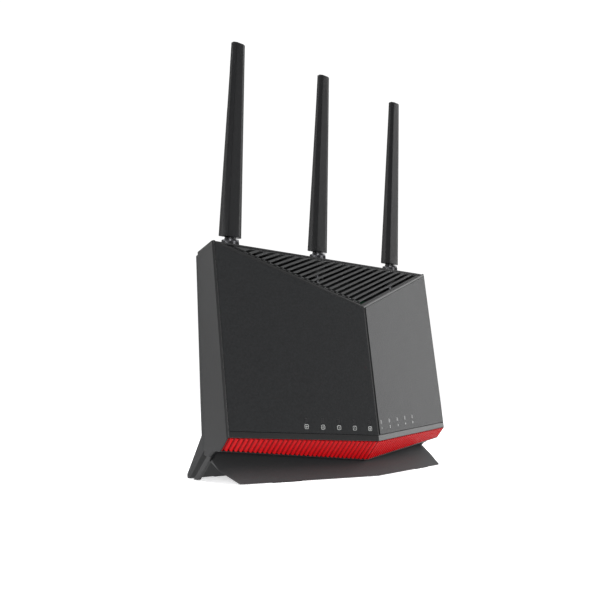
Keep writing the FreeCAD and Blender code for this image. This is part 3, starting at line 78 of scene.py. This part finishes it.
# %% Set up the camera
LENS = 48.26
CAMERA_TURN = math.radians(-43.7)
CAMERA_TIP = math.radians(96.5)
camera = bpy.data.objects.new("camera", bpy.data.cameras.new("camera"))
bpy.context.scene.collection.objects.link(camera)
camera.location = (-0.4625, -0.4485, 0.0625)
camera.rotation_euler = (CAMERA_TIP, 0.0, CAMERA_TURN)
camera.data.lens = LENS
camera.data.clip_start = 0.01
bpy.context.scene.camera = camera
print("camera", tuple(camera.location), "lens", camera.data.lens)

# %% [markdown]
# ## Light
# Dark plastic has little colour of its own, so what is seen on it is mostly the room. A white room
# gives every edge something to reflect. One large soft lamp on the right makes that half of the front
# the lighter one, and a smaller one from behind the left picks out the side wall. A third hangs over
# the top for the vent, and a small one near the viewer draws bright lines along the bevels. The room
# is seen brighter than it lights, so the background stays white while the plastic stays dark.

# %% Light the room
def soft_lamp(name, place, aim, width, height, watts):
    """A large area lamp at a place, pointed at a spot."""
    lamp = bpy.data.lights.new(name, "AREA")
    lamp.shape, lamp.size, lamp.size_y, lamp.energy = "RECTANGLE", width, height, watts
    holder = bpy.data.objects.new(name, lamp)
    holder.location = place
    holder.rotation_euler = (Vector(aim) - Vector(place)).to_track_quat("-Z", "Y").to_euler()
    bpy.context.scene.collection.objects.link(holder)


middle = (model_box[0] + model_box[1]) / 2
soft_lamp("right_lamp", (1.6, -0.65, 0.6), middle, 0.9, 1.4, 19)
soft_lamp("left_lamp", (-1.3, 0.9, 0.6), middle, 0.7, 1.0, 9)
soft_lamp("top_lamp", (-0.3, -0.6, 1.8), middle, 1.0, 1.0, 26)
soft_lamp("near_lamp", (-1.1, -1.3, 0.15), middle, 0.35, 0.6, 20)
ROOM_LIGHT, BACKDROP_LIGHT = 0.42, 1.05
world = bpy.data.worlds.new("white_room")
world.use_nodes = True
room = world.node_tree.nodes["Background"]
room.inputs["Color"].default_value = (1, 1, 1, 1)
seen = world.node_tree.nodes.new("ShaderNodeLightPath")
level = world.node_tree.nodes.new("ShaderNodeMix")
level.inputs["A"].default_value, level.inputs["B"].default_value = ROOM_LIGHT, BACKDROP_LIGHT
world.node_tree.links.new(seen.outputs["Is Camera Ray"], level.inputs["Factor"])
world.node_tree.links.new(level.outputs["Result"], room.inputs["Strength"])
bpy.context.scene.world = world
bpy.context.scene.view_settings.view_transform = "Standard"

# %% [markdown]
# ## Sums in a shader
# A material is a graph of nodes. Adding two masks takes a Math node, which is slow to write by hand.
# The small class here wraps a socket, so that ordinary signs such as + and * add those nodes.

# %% A socket that does sums
class Mask:
    """One value in a material's graph. Python's signs add Math nodes to it."""

    def __init__(self, finish, socket):
        self.finish, self.socket = finish, socket

    def sum(self, operation, first, second):
        return self.finish.node("ShaderNodeMath", {"operation": operation}, {0: first, 1: second})

    def __add__(self, other):
        return self.sum("ADD", self, other)

    def __mul__(self, other):
        return self.sum("MULTIPLY", self, other)

    def __gt__(self, other):
        return self.sum("GREATER_THAN", self, other)

    def __lt__(self, other):
        return self.sum("LESS_THAN", self, other)

    __radd__ = __add__


class Finish:
    """One material. Settings of its shader that are the same all over are set on the shader itself."""

    def __init__(self, name, **all_over):
        self.material = bpy.data.materials.new(name)
        self.material.use_nodes = True
        self.tree = self.material.node_tree
        self.shader = self.tree.nodes["Principled BSDF"]
        for socket, number in all_over.items():
            self.shader.inputs[socket.replace("_", " ")].default_value = number

    def node(self, kind, settings, inputs, output=0):
        """A node, its settings, and the numbers, colours or links of its sockets. It gives one output."""
        made = self.tree.nodes.new(kind)
        for setting, choice in settings.items():
            setattr(made, setting, choice)
        for socket, what in inputs.items():
            if isinstance(what, Mask):
                self.tree.links.new(what.socket, made.inputs[socket])
            else:
                made.inputs[socket].default_value = what
        return Mask(self, made.outputs[output])

    def place(self, stretch=(1, 1, 1)):
        """Where a point is on the object, in metres, with each axis multiplied by a stretch."""
        where = self.node("ShaderNodeTexCoord", {}, {}, "Object")
        if stretch == (1, 1, 1):
            return where
        return self.node("ShaderNodeVectorMath", {"operation": "MULTIPLY"}, {0: where, 1: stretch})

    def grain(self, size, detail=2.0, stretch=(1, 1, 1)):
        """Soft random spots of a size in metres, from 0 to 1."""
        inputs = {"Vector": self.place(stretch), "Scale": 1 / size, "Detail": detail}
        return self.node("ShaderNodeTexNoise", {}, inputs)

    def blend(self, share, first, second):
        """A colour between two, by a mask."""
        settings = {"data_type": "RGBA", "clamp_factor": True}
        return self.node("ShaderNodeMix", settings, {0: share, 6: first, 7: second}, 2)

    def set(self, **sockets):
        """Links masks and colours to the shader's sockets."""
        for socket, what in sockets.items():
            self.tree.links.new(what.socket, self.shader.inputs[socket.replace("_", " ")])

    def relief(self, height, depth):
        """A bump of a depth in metres, where the mask is 1."""
        inputs = {"Height": height, "Distance": depth, "Strength": 1.0}
        self.set(Normal=self.node("ShaderNodeBump", {}, inputs))


def grey(level):
    """A neutral colour, a touch bluer than pure grey."""
    return (level, level, level * 1.02, 1.0)


FINISHES = {}

# %% [markdown]
# ## Moulded plastic
# The case is moulded in tools whose steel was etched, which leaves a fine grain in the plastic. Grain
# does two things: it breaks up the gloss, and it makes the dark colour look slightly mottled. So two
# noises, a fine one and a coarser one, move the surface, the gloss and the colour together.

# %% Plastics
PATCH = 1.6 * MM


def moulded(slot, colour, gloss=0.42, grain=0.45, depth=0.03, mottle=0.35, shine=0.22):
    """Etched plastic: its colour and roughness, its grain's size and depth in millimetres, and its shine."""
    made = Finish(slot, Specular_IOR_Level=shine)
    etched = made.grain(grain * MM, 3.0)
    patches = made.grain(PATCH, 4.0)
    dark = tuple(c * (1 - mottle) for c in colour) + (1.0,)
    light = tuple(c * (1 + mottle) for c in colour) + (1.0,)
    made.set(Base_Color=made.blend(etched * 0.4 + patches * 0.6, dark, light))
    made.set(Roughness=gloss - 0.06 + patches * 0.08 + etched * 0.05)
    made.relief(etched * 0.5 + patches, depth * 1.6 * MM)
    FINISHES[slot] = made.material
    return made


moulded("shell", (0.007, 0.0072, 0.0074), gloss=0.36, shine=0.3)
moulded("rear", (0.015, 0.0155, 0.016), gloss=0.5)
moulded("stand", (0.030, 0.030, 0.031), gloss=0.45)
moulded("panel", (0.010, 0.0105, 0.011), gloss=0.38, grain=0.6, depth=0.1, mottle=0.7, shine=0.16)
moulded("grille", (0.026, 0.0265, 0.027), gloss=0.34, grain=0.3, depth=0.01, shine=0.3)
moulded("antenna", (0.006, 0.0062, 0.0066), gloss=0.34, grain=0.35, shine=0.15)
moulded("key", (0.03, 0.03, 0.032), gloss=0.4, grain=0.3, depth=0.01)
moulded("rubber", (0.022, 0.022, 0.022), gloss=0.85, grain=0.7, depth=0.03)
moulded("socket", (0.016, 0.016, 0.017), gloss=0.45, grain=0.3, depth=0.008)
moulded("wan_socket", (0.02, 0.08, 0.38), gloss=0.4, grain=0.3, depth=0.008, mottle=0.15)
moulded("usb_tongue", (0.02, 0.10, 0.50), gloss=0.4, grain=0.3, depth=0.008, mottle=0.15)
moulded("switch", (0.05, 0.05, 0.055), gloss=0.5, grain=0.3, depth=0.008)
moulded("chip", (0.02, 0.02, 0.022), gloss=0.55, grain=0.2, depth=0.006)
moulded("thermal_pad", (0.30, 0.36, 0.42), gloss=0.8, grain=0.5, depth=0.03, mottle=0.12)
moulded("lead", (0.02, 0.02, 0.022), gloss=0.5, grain=0.5, depth=0.01)
print("plastics:", sorted(FINISHES))

# %% [markdown]
# The red strip is ribbed. Its valleys get less light than its ribs, and that shade is painted into the
# strip's colour. The ribs repeat along X, so a cosine of X is highest in each valley, and a power of it
# narrows the painted dark line there.

# %% The ribbed strip, with painted shade in its valleys
RIB_PITCH = 3.7 * MM
ribbed = moulded("accent", (0.42, 0.0008, 0.002), gloss=0.34, grain=0.3, depth=0.008, mottle=0.12, shine=0.12)
along = ribbed.node("ShaderNodeSeparateXYZ", {}, {0: ribbed.place()}, "X")
painted_valley_shade = ribbed.node("ShaderNodeMath", {"operation": "COSINE"}, {0: along * (2 * math.pi / RIB_PITCH)})
painted_valley_shade = ribbed.node("ShaderNodeMath", {"operation": "POWER"}, {0: painted_valley_shade * 0.5 + 0.5, 1: 2.5})
specks = ribbed.grain(1.2 * MM) * 0.15
# Painted shade: the base colour turns dark red in each valley of the ribs, with a fine grain mixed in.
ribbed.set(Base_Color=ribbed.blend(painted_valley_shade + specks, (0.38, 0.001, 0.003, 1), (0.06, 0.0003, 0.0008, 1)))
print("ribs of the strip repeat every", RIB_PITCH / MM, "mm")

# %% [markdown]
# ## Metals
# A metal has no diffuse colour: its base colour tints what it reflects. Turned and rolled parts carry
# fine lines, which a noise gives when it is stretched along the line. Plated parts vary in gloss.

# %% Metals
def metal(slot, colour, gloss=0.3, stretch=(1, 1, 1), line=0.3, depth=0.006, wear=0.15):
    """Bare or plated metal, with fine lines along the axis whose stretch is smallest."""
    made = Finish(slot, Metallic=1.0)
    lines = made.grain(line * MM, 2.0, stretch)
    clouds = made.grain(4 * MM, 3.0)
    dull = tuple(c * (1 - wear) for c in colour) + (1.0,)
    made.set(Base_Color=made.blend(clouds, dull, tuple(colour) + (1.0,)))
    made.set(Roughness=gloss - 0.08 + lines * 0.08 + clouds * 0.1)
    made.relief(lines, depth * MM)
    FINISHES[slot] = made.material


metal("nickel", (0.05, 0.05, 0.053), gloss=0.3, stretch=(0.2, 0.2, 4))
metal("gold", (0.95, 0.66, 0.28), gloss=0.25)
metal("heat_sink", (0.75, 0.76, 0.78), gloss=0.4, stretch=(1, 1, 0.03))
metal("shield", (0.45, 0.46, 0.47), gloss=0.36, stretch=(0.05, 1, 1))
metal("screw", (0.10, 0.10, 0.11), gloss=0.38, wear=0.3)
print("finishes so far:", len(FINISHES))

# %% [markdown]
# ## The circuit boards, the ribbon and the lights
# A board is glass cloth under a green lacquer. Copper tracks lie beneath it and show as slightly
# lighter lines, which run square to each other. Each light has a window of smoky plastic.

# %% Boards, ribbon and light windows
def circuit_board():
    """Green lacquer over copper tracks that run square to each other."""
    made = Finish("circuit_board", Coat_Roughness=0.2)
    cells = {"Vector": made.place((1, 0, 1)), "Scale": 1 / (7 * MM), "Randomness": 0.0}
    cell = made.node("ShaderNodeTexVoronoi", {"distance": "CHEBYCHEV"}, cells)
    wave = {"Vector": made.place(), "Scale": 1 / (5 * MM), "Distortion": 0.0}
    track = made.node("ShaderNodeTexWave", {"bands_direction": "X"}, wave, "Fac")
    step = made.node("ShaderNodeTexWave", {"bands_direction": "Z"}, wave, "Fac")
    copper = (track > 0.72) * (cell > 0.25) + (step > 0.8) * (cell < 0.2)
    made.set(Base_Color=made.blend(copper, (0.003, 0.018, 0.009, 1), (0.006, 0.04, 0.018, 1)))
    made.set(Roughness=0.35 + made.grain(0.4 * MM) * 0.1)
    made.relief(copper, 0.03 * MM)
    FINISHES["circuit_board"] = made.material


def hazy_plastic(slot, colour):
    """Smooth plastic with a fine haze in it, which serves for windows, chips' lenses and pale ink."""
    made = Finish(slot)
    haze = made.grain(0.5 * MM, 3.0)
    made.set(Base_Color=made.blend(haze, tuple(c * 0.8 for c in colour) + (1.0,), tuple(colour) + (1.0,)))
    made.set(Roughness=0.25 + haze * 0.1)
    made.relief(haze, 0.01 * MM)
    FINISHES[slot] = made.material


def ribbon_cable():
    """A flat cable: parallel wires, seen as ridges, in pale plastic."""
    made = Finish("ribbon")
    wires = made.node("ShaderNodeTexWave", {"bands_direction": "X"},
                      {"Vector": made.place(), "Scale": 1 / (6 * MM)}, "Fac")
    made.set(Base_Color=made.blend(wires, (0.35, 0.35, 0.36, 1), (0.75, 0.75, 0.76, 1)))
    made.set(Roughness=0.35 + wires * 0.15)
    made.relief(wires, 0.1 * MM)
    FINISHES["ribbon"] = made.material


circuit_board()
hazy_plastic("light_pipe", (0.006, 0.006, 0.007))
hazy_plastic("led", (0.42, 0.43, 0.42))
ribbon_cable()
print("finishes:", len(FINISHES))

# %% [markdown]
# ## Give every sub-part its finish
# The record says which slot each sub-part belongs to, so no sub-part is named here.

# %% Dress the model
SLOT_OF = {part["node"]: part["material_slot"] for part in RECORD["subparts"]}


def dress(piece, slot):
    """Gives a piece the finish of a slot."""
    piece.data.materials.clear()
    piece.data.materials.append(FINISHES[slot])


for name, node in NODES.items():
    dress(node, SLOT_OF[name])
print("dressed:", len(NODES))

# %% [markdown]
# ## Soft edges
# Nothing that is moulded has a knife edge. The edge is rounded by a fraction of a millimetre, and that
# thin round is what catches the light along the case. A copy of the sub-part has its doubled points
# merged, so that faces share edges, and a Bevel modifier rounds each edge that turns by more than a
# set angle. A second modifier weights the shading by area, which keeps the large faces flat.

# %% A copy with soft edges
BODY_OF = {node: body for body, members in RECORD["behaviour"]["bodies"].items() for node in members}


def new_piece(name, shape, body, slot):
    """Makes an object of a bmesh, which rides on a body and takes its finish from a slot."""
    mesh = bpy.data.meshes.new(name)
    shape.to_mesh(mesh)
    shape.free()
    piece = bpy.data.objects.new(name, mesh)
    bpy.context.scene.collection.objects.link(piece)
    dress(piece, slot)
    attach(piece, body)
    return piece


def round_edges(piece, radius, turn=25, steps=2):
    """Rounds the edges that turn by more than an angle in degrees, by a radius in millimetres."""
    soft = piece.modifiers.new("soft_edges", "BEVEL")
    soft.width, soft.segments, soft.limit_method = radius * MM, steps, "ANGLE"
    soft.angle_limit, soft.use_clamp_overlap = math.radians(turn), False
    even = piece.modifiers.new("even_shading", "WEIGHTED_NORMAL")
    even.mode, even.weight, even.keep_sharp = "FACE_AREA", 100, True
    for face in piece.data.polygons:
        face.use_smooth = True


def soften(name, radius):
    """Stands a soft-edged copy in for a sub-part."""
    shape = bmesh.new()
    shape.from_mesh(NODES[name].data)
    bmesh.ops.remove_doubles(shape, verts=shape.verts, dist=0.004 * MM)
    piece = new_piece(name + "_soft", shape, BODY_OF[name], SLOT_OF[name])
    round_edges(piece, radius)
    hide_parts(name)
    return piece


SOFT_EDGES = {
    "front_shell": 0.22, "left_panel": 0.18, "right_panel": 0.18, "front_stand": 0.3, "rear_cover": 0.25,
    "vent_grille": 0.12, "accent_strip": 0.08, "power_button": 0.3, "pairing_key": 0.2, "wireless_key": 0.2,
}
for side in ("left", "middle", "right"):
    SOFT_EDGES[f"{side}_antenna_blade"] = 0.3
    SOFT_EDGES[f"{side}_antenna_cover"] = 0.3
soft_pieces = {name: soften(name, radius) for name, radius in SOFT_EDGES.items()}
print("soft-edged pieces:", len(soft_pieces))

# %% [markdown]
# ## Printed signs
# Small signs under the lights and over the sockets tell them apart. They are printed in pale ink, so
# each one is a flat shape with almost no thickness. A ring is a disc whose middle is cut out by an
# inset, a frame is a square with rounded corners, treated the same way, and a bar is a narrow square.

# %% Strokes to draw with
INK = 0.26 * MM
INK_HEIGHT = 0.05 * MM


def hollow(shape, face):
    """Leaves only a stroke's width of a face, along its outline."""
    bmesh.ops.inset_individual(shape, faces=[face], thickness=INK, use_even_offset=True)
    bmesh.ops.delete(shape, geom=[face], context="FACES")


def ring(shape, radius, at=(0, 0), cut=None):
    """A circle drawn with one stroke. A cut keeps only what lies on one side of a line through its middle."""
    part = bmesh.new()
    bmesh.ops.create_circle(part, cap_ends=True, segments=20, radius=radius * MM)
    hollow(part, part.faces[:][0])
    if cut:
        everything = part.verts[:] + part.edges[:] + part.faces[:]
        line = Vector((0, cut * MM, 0))
        bmesh.ops.bisect_plane(part, geom=everything, plane_co=line, plane_no=(0, 1, 0), clear_inner=True)
    join(shape, part, at)


def frame_sign(shape, side, at=(0, 0)):
    """A square with round corners, drawn with one stroke."""
    part = bmesh.new()
    bmesh.ops.create_grid(part, x_segments=1, y_segments=1, size=side / 2 * MM)
    bmesh.ops.bevel(part, geom=part.verts[:], offset=side / 4 * MM, affect="VERTICES", segments=3,
                    profile=0.5, material=-1)
    part.faces.ensure_lookup_table()
    hollow(part, part.faces[0])
    join(shape, part, at)


def bar(shape, width, height, at=(0, 0), turn=0.0):
    """A narrow square, turned about its middle."""
    part = bmesh.new()
    made = bmesh.ops.create_grid(part, x_segments=1, y_segments=1, size=0.5)
    bmesh.ops.scale(part, verts=made["verts"], vec=(width * MM, height * MM, 1))
    bmesh.ops.rotate(part, verts=made["verts"], cent=(0, 0, 0), matrix=Matrix.Rotation(turn, 3, "Z"))
    join(shape, part, at)


def numeral(shape, text, height, at=(0, 0)):
    """A plain figure, from the font that Blender has built in."""
    words = bpy.data.curves.new("figure", "FONT")
    words.body, words.size, words.align_x, words.align_y = text, height * MM, "CENTER", "CENTER"
    words.resolution_u = 2
    holder = bpy.data.objects.new("figure", words)
    bpy.context.scene.collection.objects.link(holder)
    bpy.context.view_layer.update()
    flat = bpy.data.meshes.new_from_object(holder)
    bpy.data.objects.remove(holder)
    part = bmesh.new()
    part.from_mesh(flat)
    join(shape, part, at)


def join(shape, part, at):
    """Adds one small shape to another, moved to its place in millimetres."""
    bmesh.ops.translate(part, verts=part.verts, vec=Vector(at).to_3d() * MM)
    loose = bpy.data.meshes.new("loose")
    part.to_mesh(loose)
    part.free()
    shape.from_mesh(loose)
    bpy.data.meshes.remove(loose)


def power_sign(shape):
    ring(shape, 0.95, (0, -0.2))
    bar(shape, INK / MM, 1.0, (0, 0.75))


def waves_sign(shape):
    for radius in (0.6, 1.2, 1.8):
        ring(shape, radius, (0, -0.9), 0.35 * radius)
    bar(shape, 0.45, 0.45, (0, -0.9), math.radians(45))


def globe_sign(shape):
    ring(shape, 1.1)
    bar(shape, 1.8, INK / MM)
    bar(shape, INK / MM, 1.8)


def shrink(shape, share):
    """Draws all that a sign has so far at a share of its size, about its middle."""
    bmesh.ops.scale(shape, verts=shape.verts, vec=(share, share, 1))


def lay_down(shape, origin, across, out):
    """Gives the flat signs their thickness and lays them on a surface."""
    top = bmesh.ops.extrude_face_region(shape, geom=shape.faces[:])
    raised = [item for item in top["geom"] if isinstance(item, bmesh.types.BMVert)]
    bmesh.ops.translate(shape, verts=raised, vec=(0, 0, INK_HEIGHT))
    bmesh.ops.recalc_face_normals(shape, faces=shape.faces)
    up = out.cross(across)
    place = Matrix((across, up, out)).transposed().to_4x4()
    place.translation = origin
    bmesh.ops.transform(shape, matrix=place, verts=shape.verts)
    return shape


print("strokes are", INK / MM, "mm wide")

# %% [markdown]
# The lights stand in a row across both halves of the front, which lean and turn away from each other.
# The direction of each half is read from its panel, and the places from the light guides themselves.

# %% Signs under the lights
def islands(name, gap=3.0):
    """The boxes of a sub-part's separate pieces, from left to right, where gaps between them divide them."""
    points = sorted((v.co.copy() for v in NODES[name].data.vertices), key=lambda co: co.x)
    groups = [[points[0]]]
    for point in points[1:]:
        if point.x - groups[-1][-1].x > gap * MM:
            groups.append([])
        groups[-1].append(point)
    low = [Vector([min(p[i] for p in group) for i in range(3)]) for group in groups]
    high = [Vector([max(p[i] for p in group) for i in range(3)]) for group in groups]
    return list(zip(low, high))


def front_face(name):
    """A point of a panel's front, and the way it faces."""
    mesh = NODES[name].data
    widest = max((f for f in mesh.polygons if f.normal.y < -0.5), key=lambda f: f.area)
    return mesh.vertices[widest.vertices[0]].co.copy(), widest.normal.copy()


SIGN_DROP = 4.6 * MM
lights = islands("light_guides")
left_signs = [waves_sign, power_sign, "2", "5", globe_sign]
right_signs = ["1", "2", "3", "4", "8"]
for side, spots, signs in (("left", lights[:5], left_signs), ("right", lights[5:], right_signs)):
    corner, out = front_face(f"{side}_panel")
    across = Vector((0, 0, 1)).cross(-out).normalized() * -1
    up = out.cross(across)
    for number, ((low, high), sign) in enumerate(zip(spots, signs)):
        spot = Vector(((low.x + high.x) / 2, 0, (low.z + high.z) / 2))
        spot.y = corner.y - (out.x * (spot.x - corner.x) + out.z * (spot.z - corner.z)) / out.y
        shape = bmesh.new()
        if callable(sign):
            sign(shape)
        else:
            numeral(shape, sign, 2.6)
        if side == "left":
            shrink(shape, 0.65)
            frame_sign(shape, 3.2)
        lay_down(shape, spot - up * SIGN_DROP, across, out)
        new_piece(f"{side}_sign_{number + 1}", shape, "case", "led")
print("lights:", len(lights))

# %% [markdown]
# The same signs help at the back, where the plugs go in. Seen from behind, left and right change
# places, so these signs read along -X.

# %% Signs over the sockets
lan_row = islands("lan_sockets", 0.8)
port_face = max(high.y for low, high in lan_row)
port_top = max(high.z for low, high in lan_row)
SIGN_LIFT = 3.4 * MM


def port_sign(name, x, draw):
    """One sign over the sockets, drawn by a function of its own."""
    shape = bmesh.new()
    draw(shape)
    spot = Vector((x, port_face, port_top + SIGN_LIFT))
    lay_down(shape, spot, Vector((-1, 0, 0)), Vector((0, 1, 0)))
    new_piece(name, shape, "case", "led")


def middle_x(node):
    """The X of a sub-part's middle."""
    low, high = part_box(node)
    return (low.x + high.x) / 2


for place, opening in enumerate(o for o in RECORD["physics"]["openings"] if o["name"].startswith("lan")):
    x = (opening["box_m"][0][0] + opening["box_m"][1][0]) / 2
    port_sign(f"lan_sign_{place + 1}", x, lambda shape, text=str(place + 1): numeral(shape, text, 3.0))
port_sign("wan_sign", middle_x("wan_socket"), globe_sign)
port_sign("power_sign", middle_x("power_button"), power_sign)
port_sign("reset_sign", middle_x("reset_button"), lambda shape: ring(shape, 0.9, cut=-0.5))
for place, (low, high) in enumerate(islands("usb_shells")):
    port_sign(f"usb_sign_{place + 1}", (low.x + high.x) / 2, lambda shape: bar(shape, 2.6, 0.5))
print("socket row at height", round(port_top, 4))

# %% [markdown]
# ## Sprung contacts
# Each network socket has eight thin gilt springs that slope towards the back, and each USB tongue
# carries flat gilt pads. One spring is a small block, tilted and shifted eight times.

# %% Contacts in the sockets
SPRING_PITCH = 1.02 * MM
SPRING_SIZE = (0.42 * MM, 7.5 * MM, 0.25 * MM)
SPRING_TILT = math.radians(-24)
SPRING_DROP = 2.3 * MM
PAD_SIZE = (1.1 * MM, 5.5 * MM, 0.08 * MM)
PAD_INSET = 3.4 * MM


def block(shape, size, centre, tilt=0.0):
    """A small block with bevelled edges, tilted about X and moved into place."""
    part = bmesh.new()
    bmesh.ops.create_cube(part, size=1.0)
    bmesh.ops.scale(part, verts=part.verts, vec=size)
    bmesh.ops.bevel(part, geom=part.edges[:], offset=min(size) / 4, affect="EDGES", segments=1)
    bmesh.ops.rotate(part, verts=part.verts, cent=(0, 0, 0), matrix=Matrix.Rotation(tilt, 3, "X"))
    join(shape, part, Vector(centre) / MM)


for opening in RECORD["physics"]["openings"]:
    low, high = (Vector(corner) for corner in opening["box_m"])
    springs = bmesh.new()
    for place in range(8):
        x = (low.x + high.x) / 2 + (place - 3.5) * SPRING_PITCH
        centre = Vector((x, low.y + (high.y - low.y) * 0.42, high.z - SPRING_DROP))
        block(springs, SPRING_SIZE, centre, SPRING_TILT)
    new_piece(opening["name"] + "_springs", springs, "case", "gold")
for place, (low, high) in enumerate(islands("usb_tongues")):
    pads = bmesh.new()
    for number in range(4):
        x = low.x + (high.x - low.x) * (0.17 + 0.22 * number)
        block(pads, PAD_SIZE, Vector((x, high.y - PAD_INSET, low.z)))
    new_piece(f"usb_pads_{place + 1}", pads, "case", "gold")
print("openings with springs:", len(RECORD["physics"]["openings"]))

# %% [markdown]
# ## Knurled nuts
# Fingers turn the antennas' nuts, so a band of fine ribs is pressed into each one. It is an open
# cylinder with every second edge drawn in, given a wall by a solidify step.

# %% Knurls
KNURL_RIBS = 40
KNURL_DEPTH = 0.28 * MM
KNURL_WALL = 0.2 * MM
for side in ("left", "middle", "right"):
    low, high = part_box(f"{side}_antenna_nut")
    centre, radius = (low + high) / 2, (high.x - low.x) / 2
    band = bmesh.new()
    bmesh.ops.create_cone(band, cap_ends=False, segments=2 * KNURL_RIBS, radius1=radius + KNURL_DEPTH,
                          radius2=radius + KNURL_DEPTH, depth=(high.z - low.z) * 0.55)
    step = math.pi / KNURL_RIBS
    inner = [v for v in band.verts if round(math.atan2(v.co.y, v.co.x) / step) % 2]
    drawn_in = radius / (radius + KNURL_DEPTH)
    bmesh.ops.scale(band, verts=inner, vec=(drawn_in, drawn_in, 1))
    bmesh.ops.solidify(band, geom=band.faces[:], thickness=KNURL_WALL)
    bmesh.ops.recalc_face_normals(band, faces=band.faces)
    bmesh.ops.translate(band, verts=band.verts, vec=centre)
    new_piece(f"{side}_knurl", band, f"{side}_swivel", "nickel")
print("ribs on a knurl:", KNURL_RIBS)

# %% [markdown]
# ## The floor
# A plain pale sheet, larger than the view. It gives off a little light of its own, so that it meets
# the white room without a line. It isn't part of the router.

# %% Lay the floor
FLOOR_GLOW = 0.62
ground = bmesh.new()
bmesh.ops.create_grid(ground, x_segments=1, y_segments=1, size=6.0)
floor_mesh = bpy.data.meshes.new("floor")
ground.to_mesh(floor_mesh)
ground.free()
floor = bpy.data.objects.new("floor", floor_mesh)
bpy.context.scene.collection.objects.link(floor)
paper = Finish("pale_paper", Specular_IOR_Level=0.0, Emission_Strength=FLOOR_GLOW)
paper.shader.inputs["Emission Color"].default_value = (1, 1, 1, 1)
fibres = paper.grain(2 * MM)
paper.set(Base_Color=paper.blend(fibres, grey(0.97), grey(0.99)))
paper.set(Roughness=0.9 + fibres * 0.1)
floor.data.materials.append(paper.material)
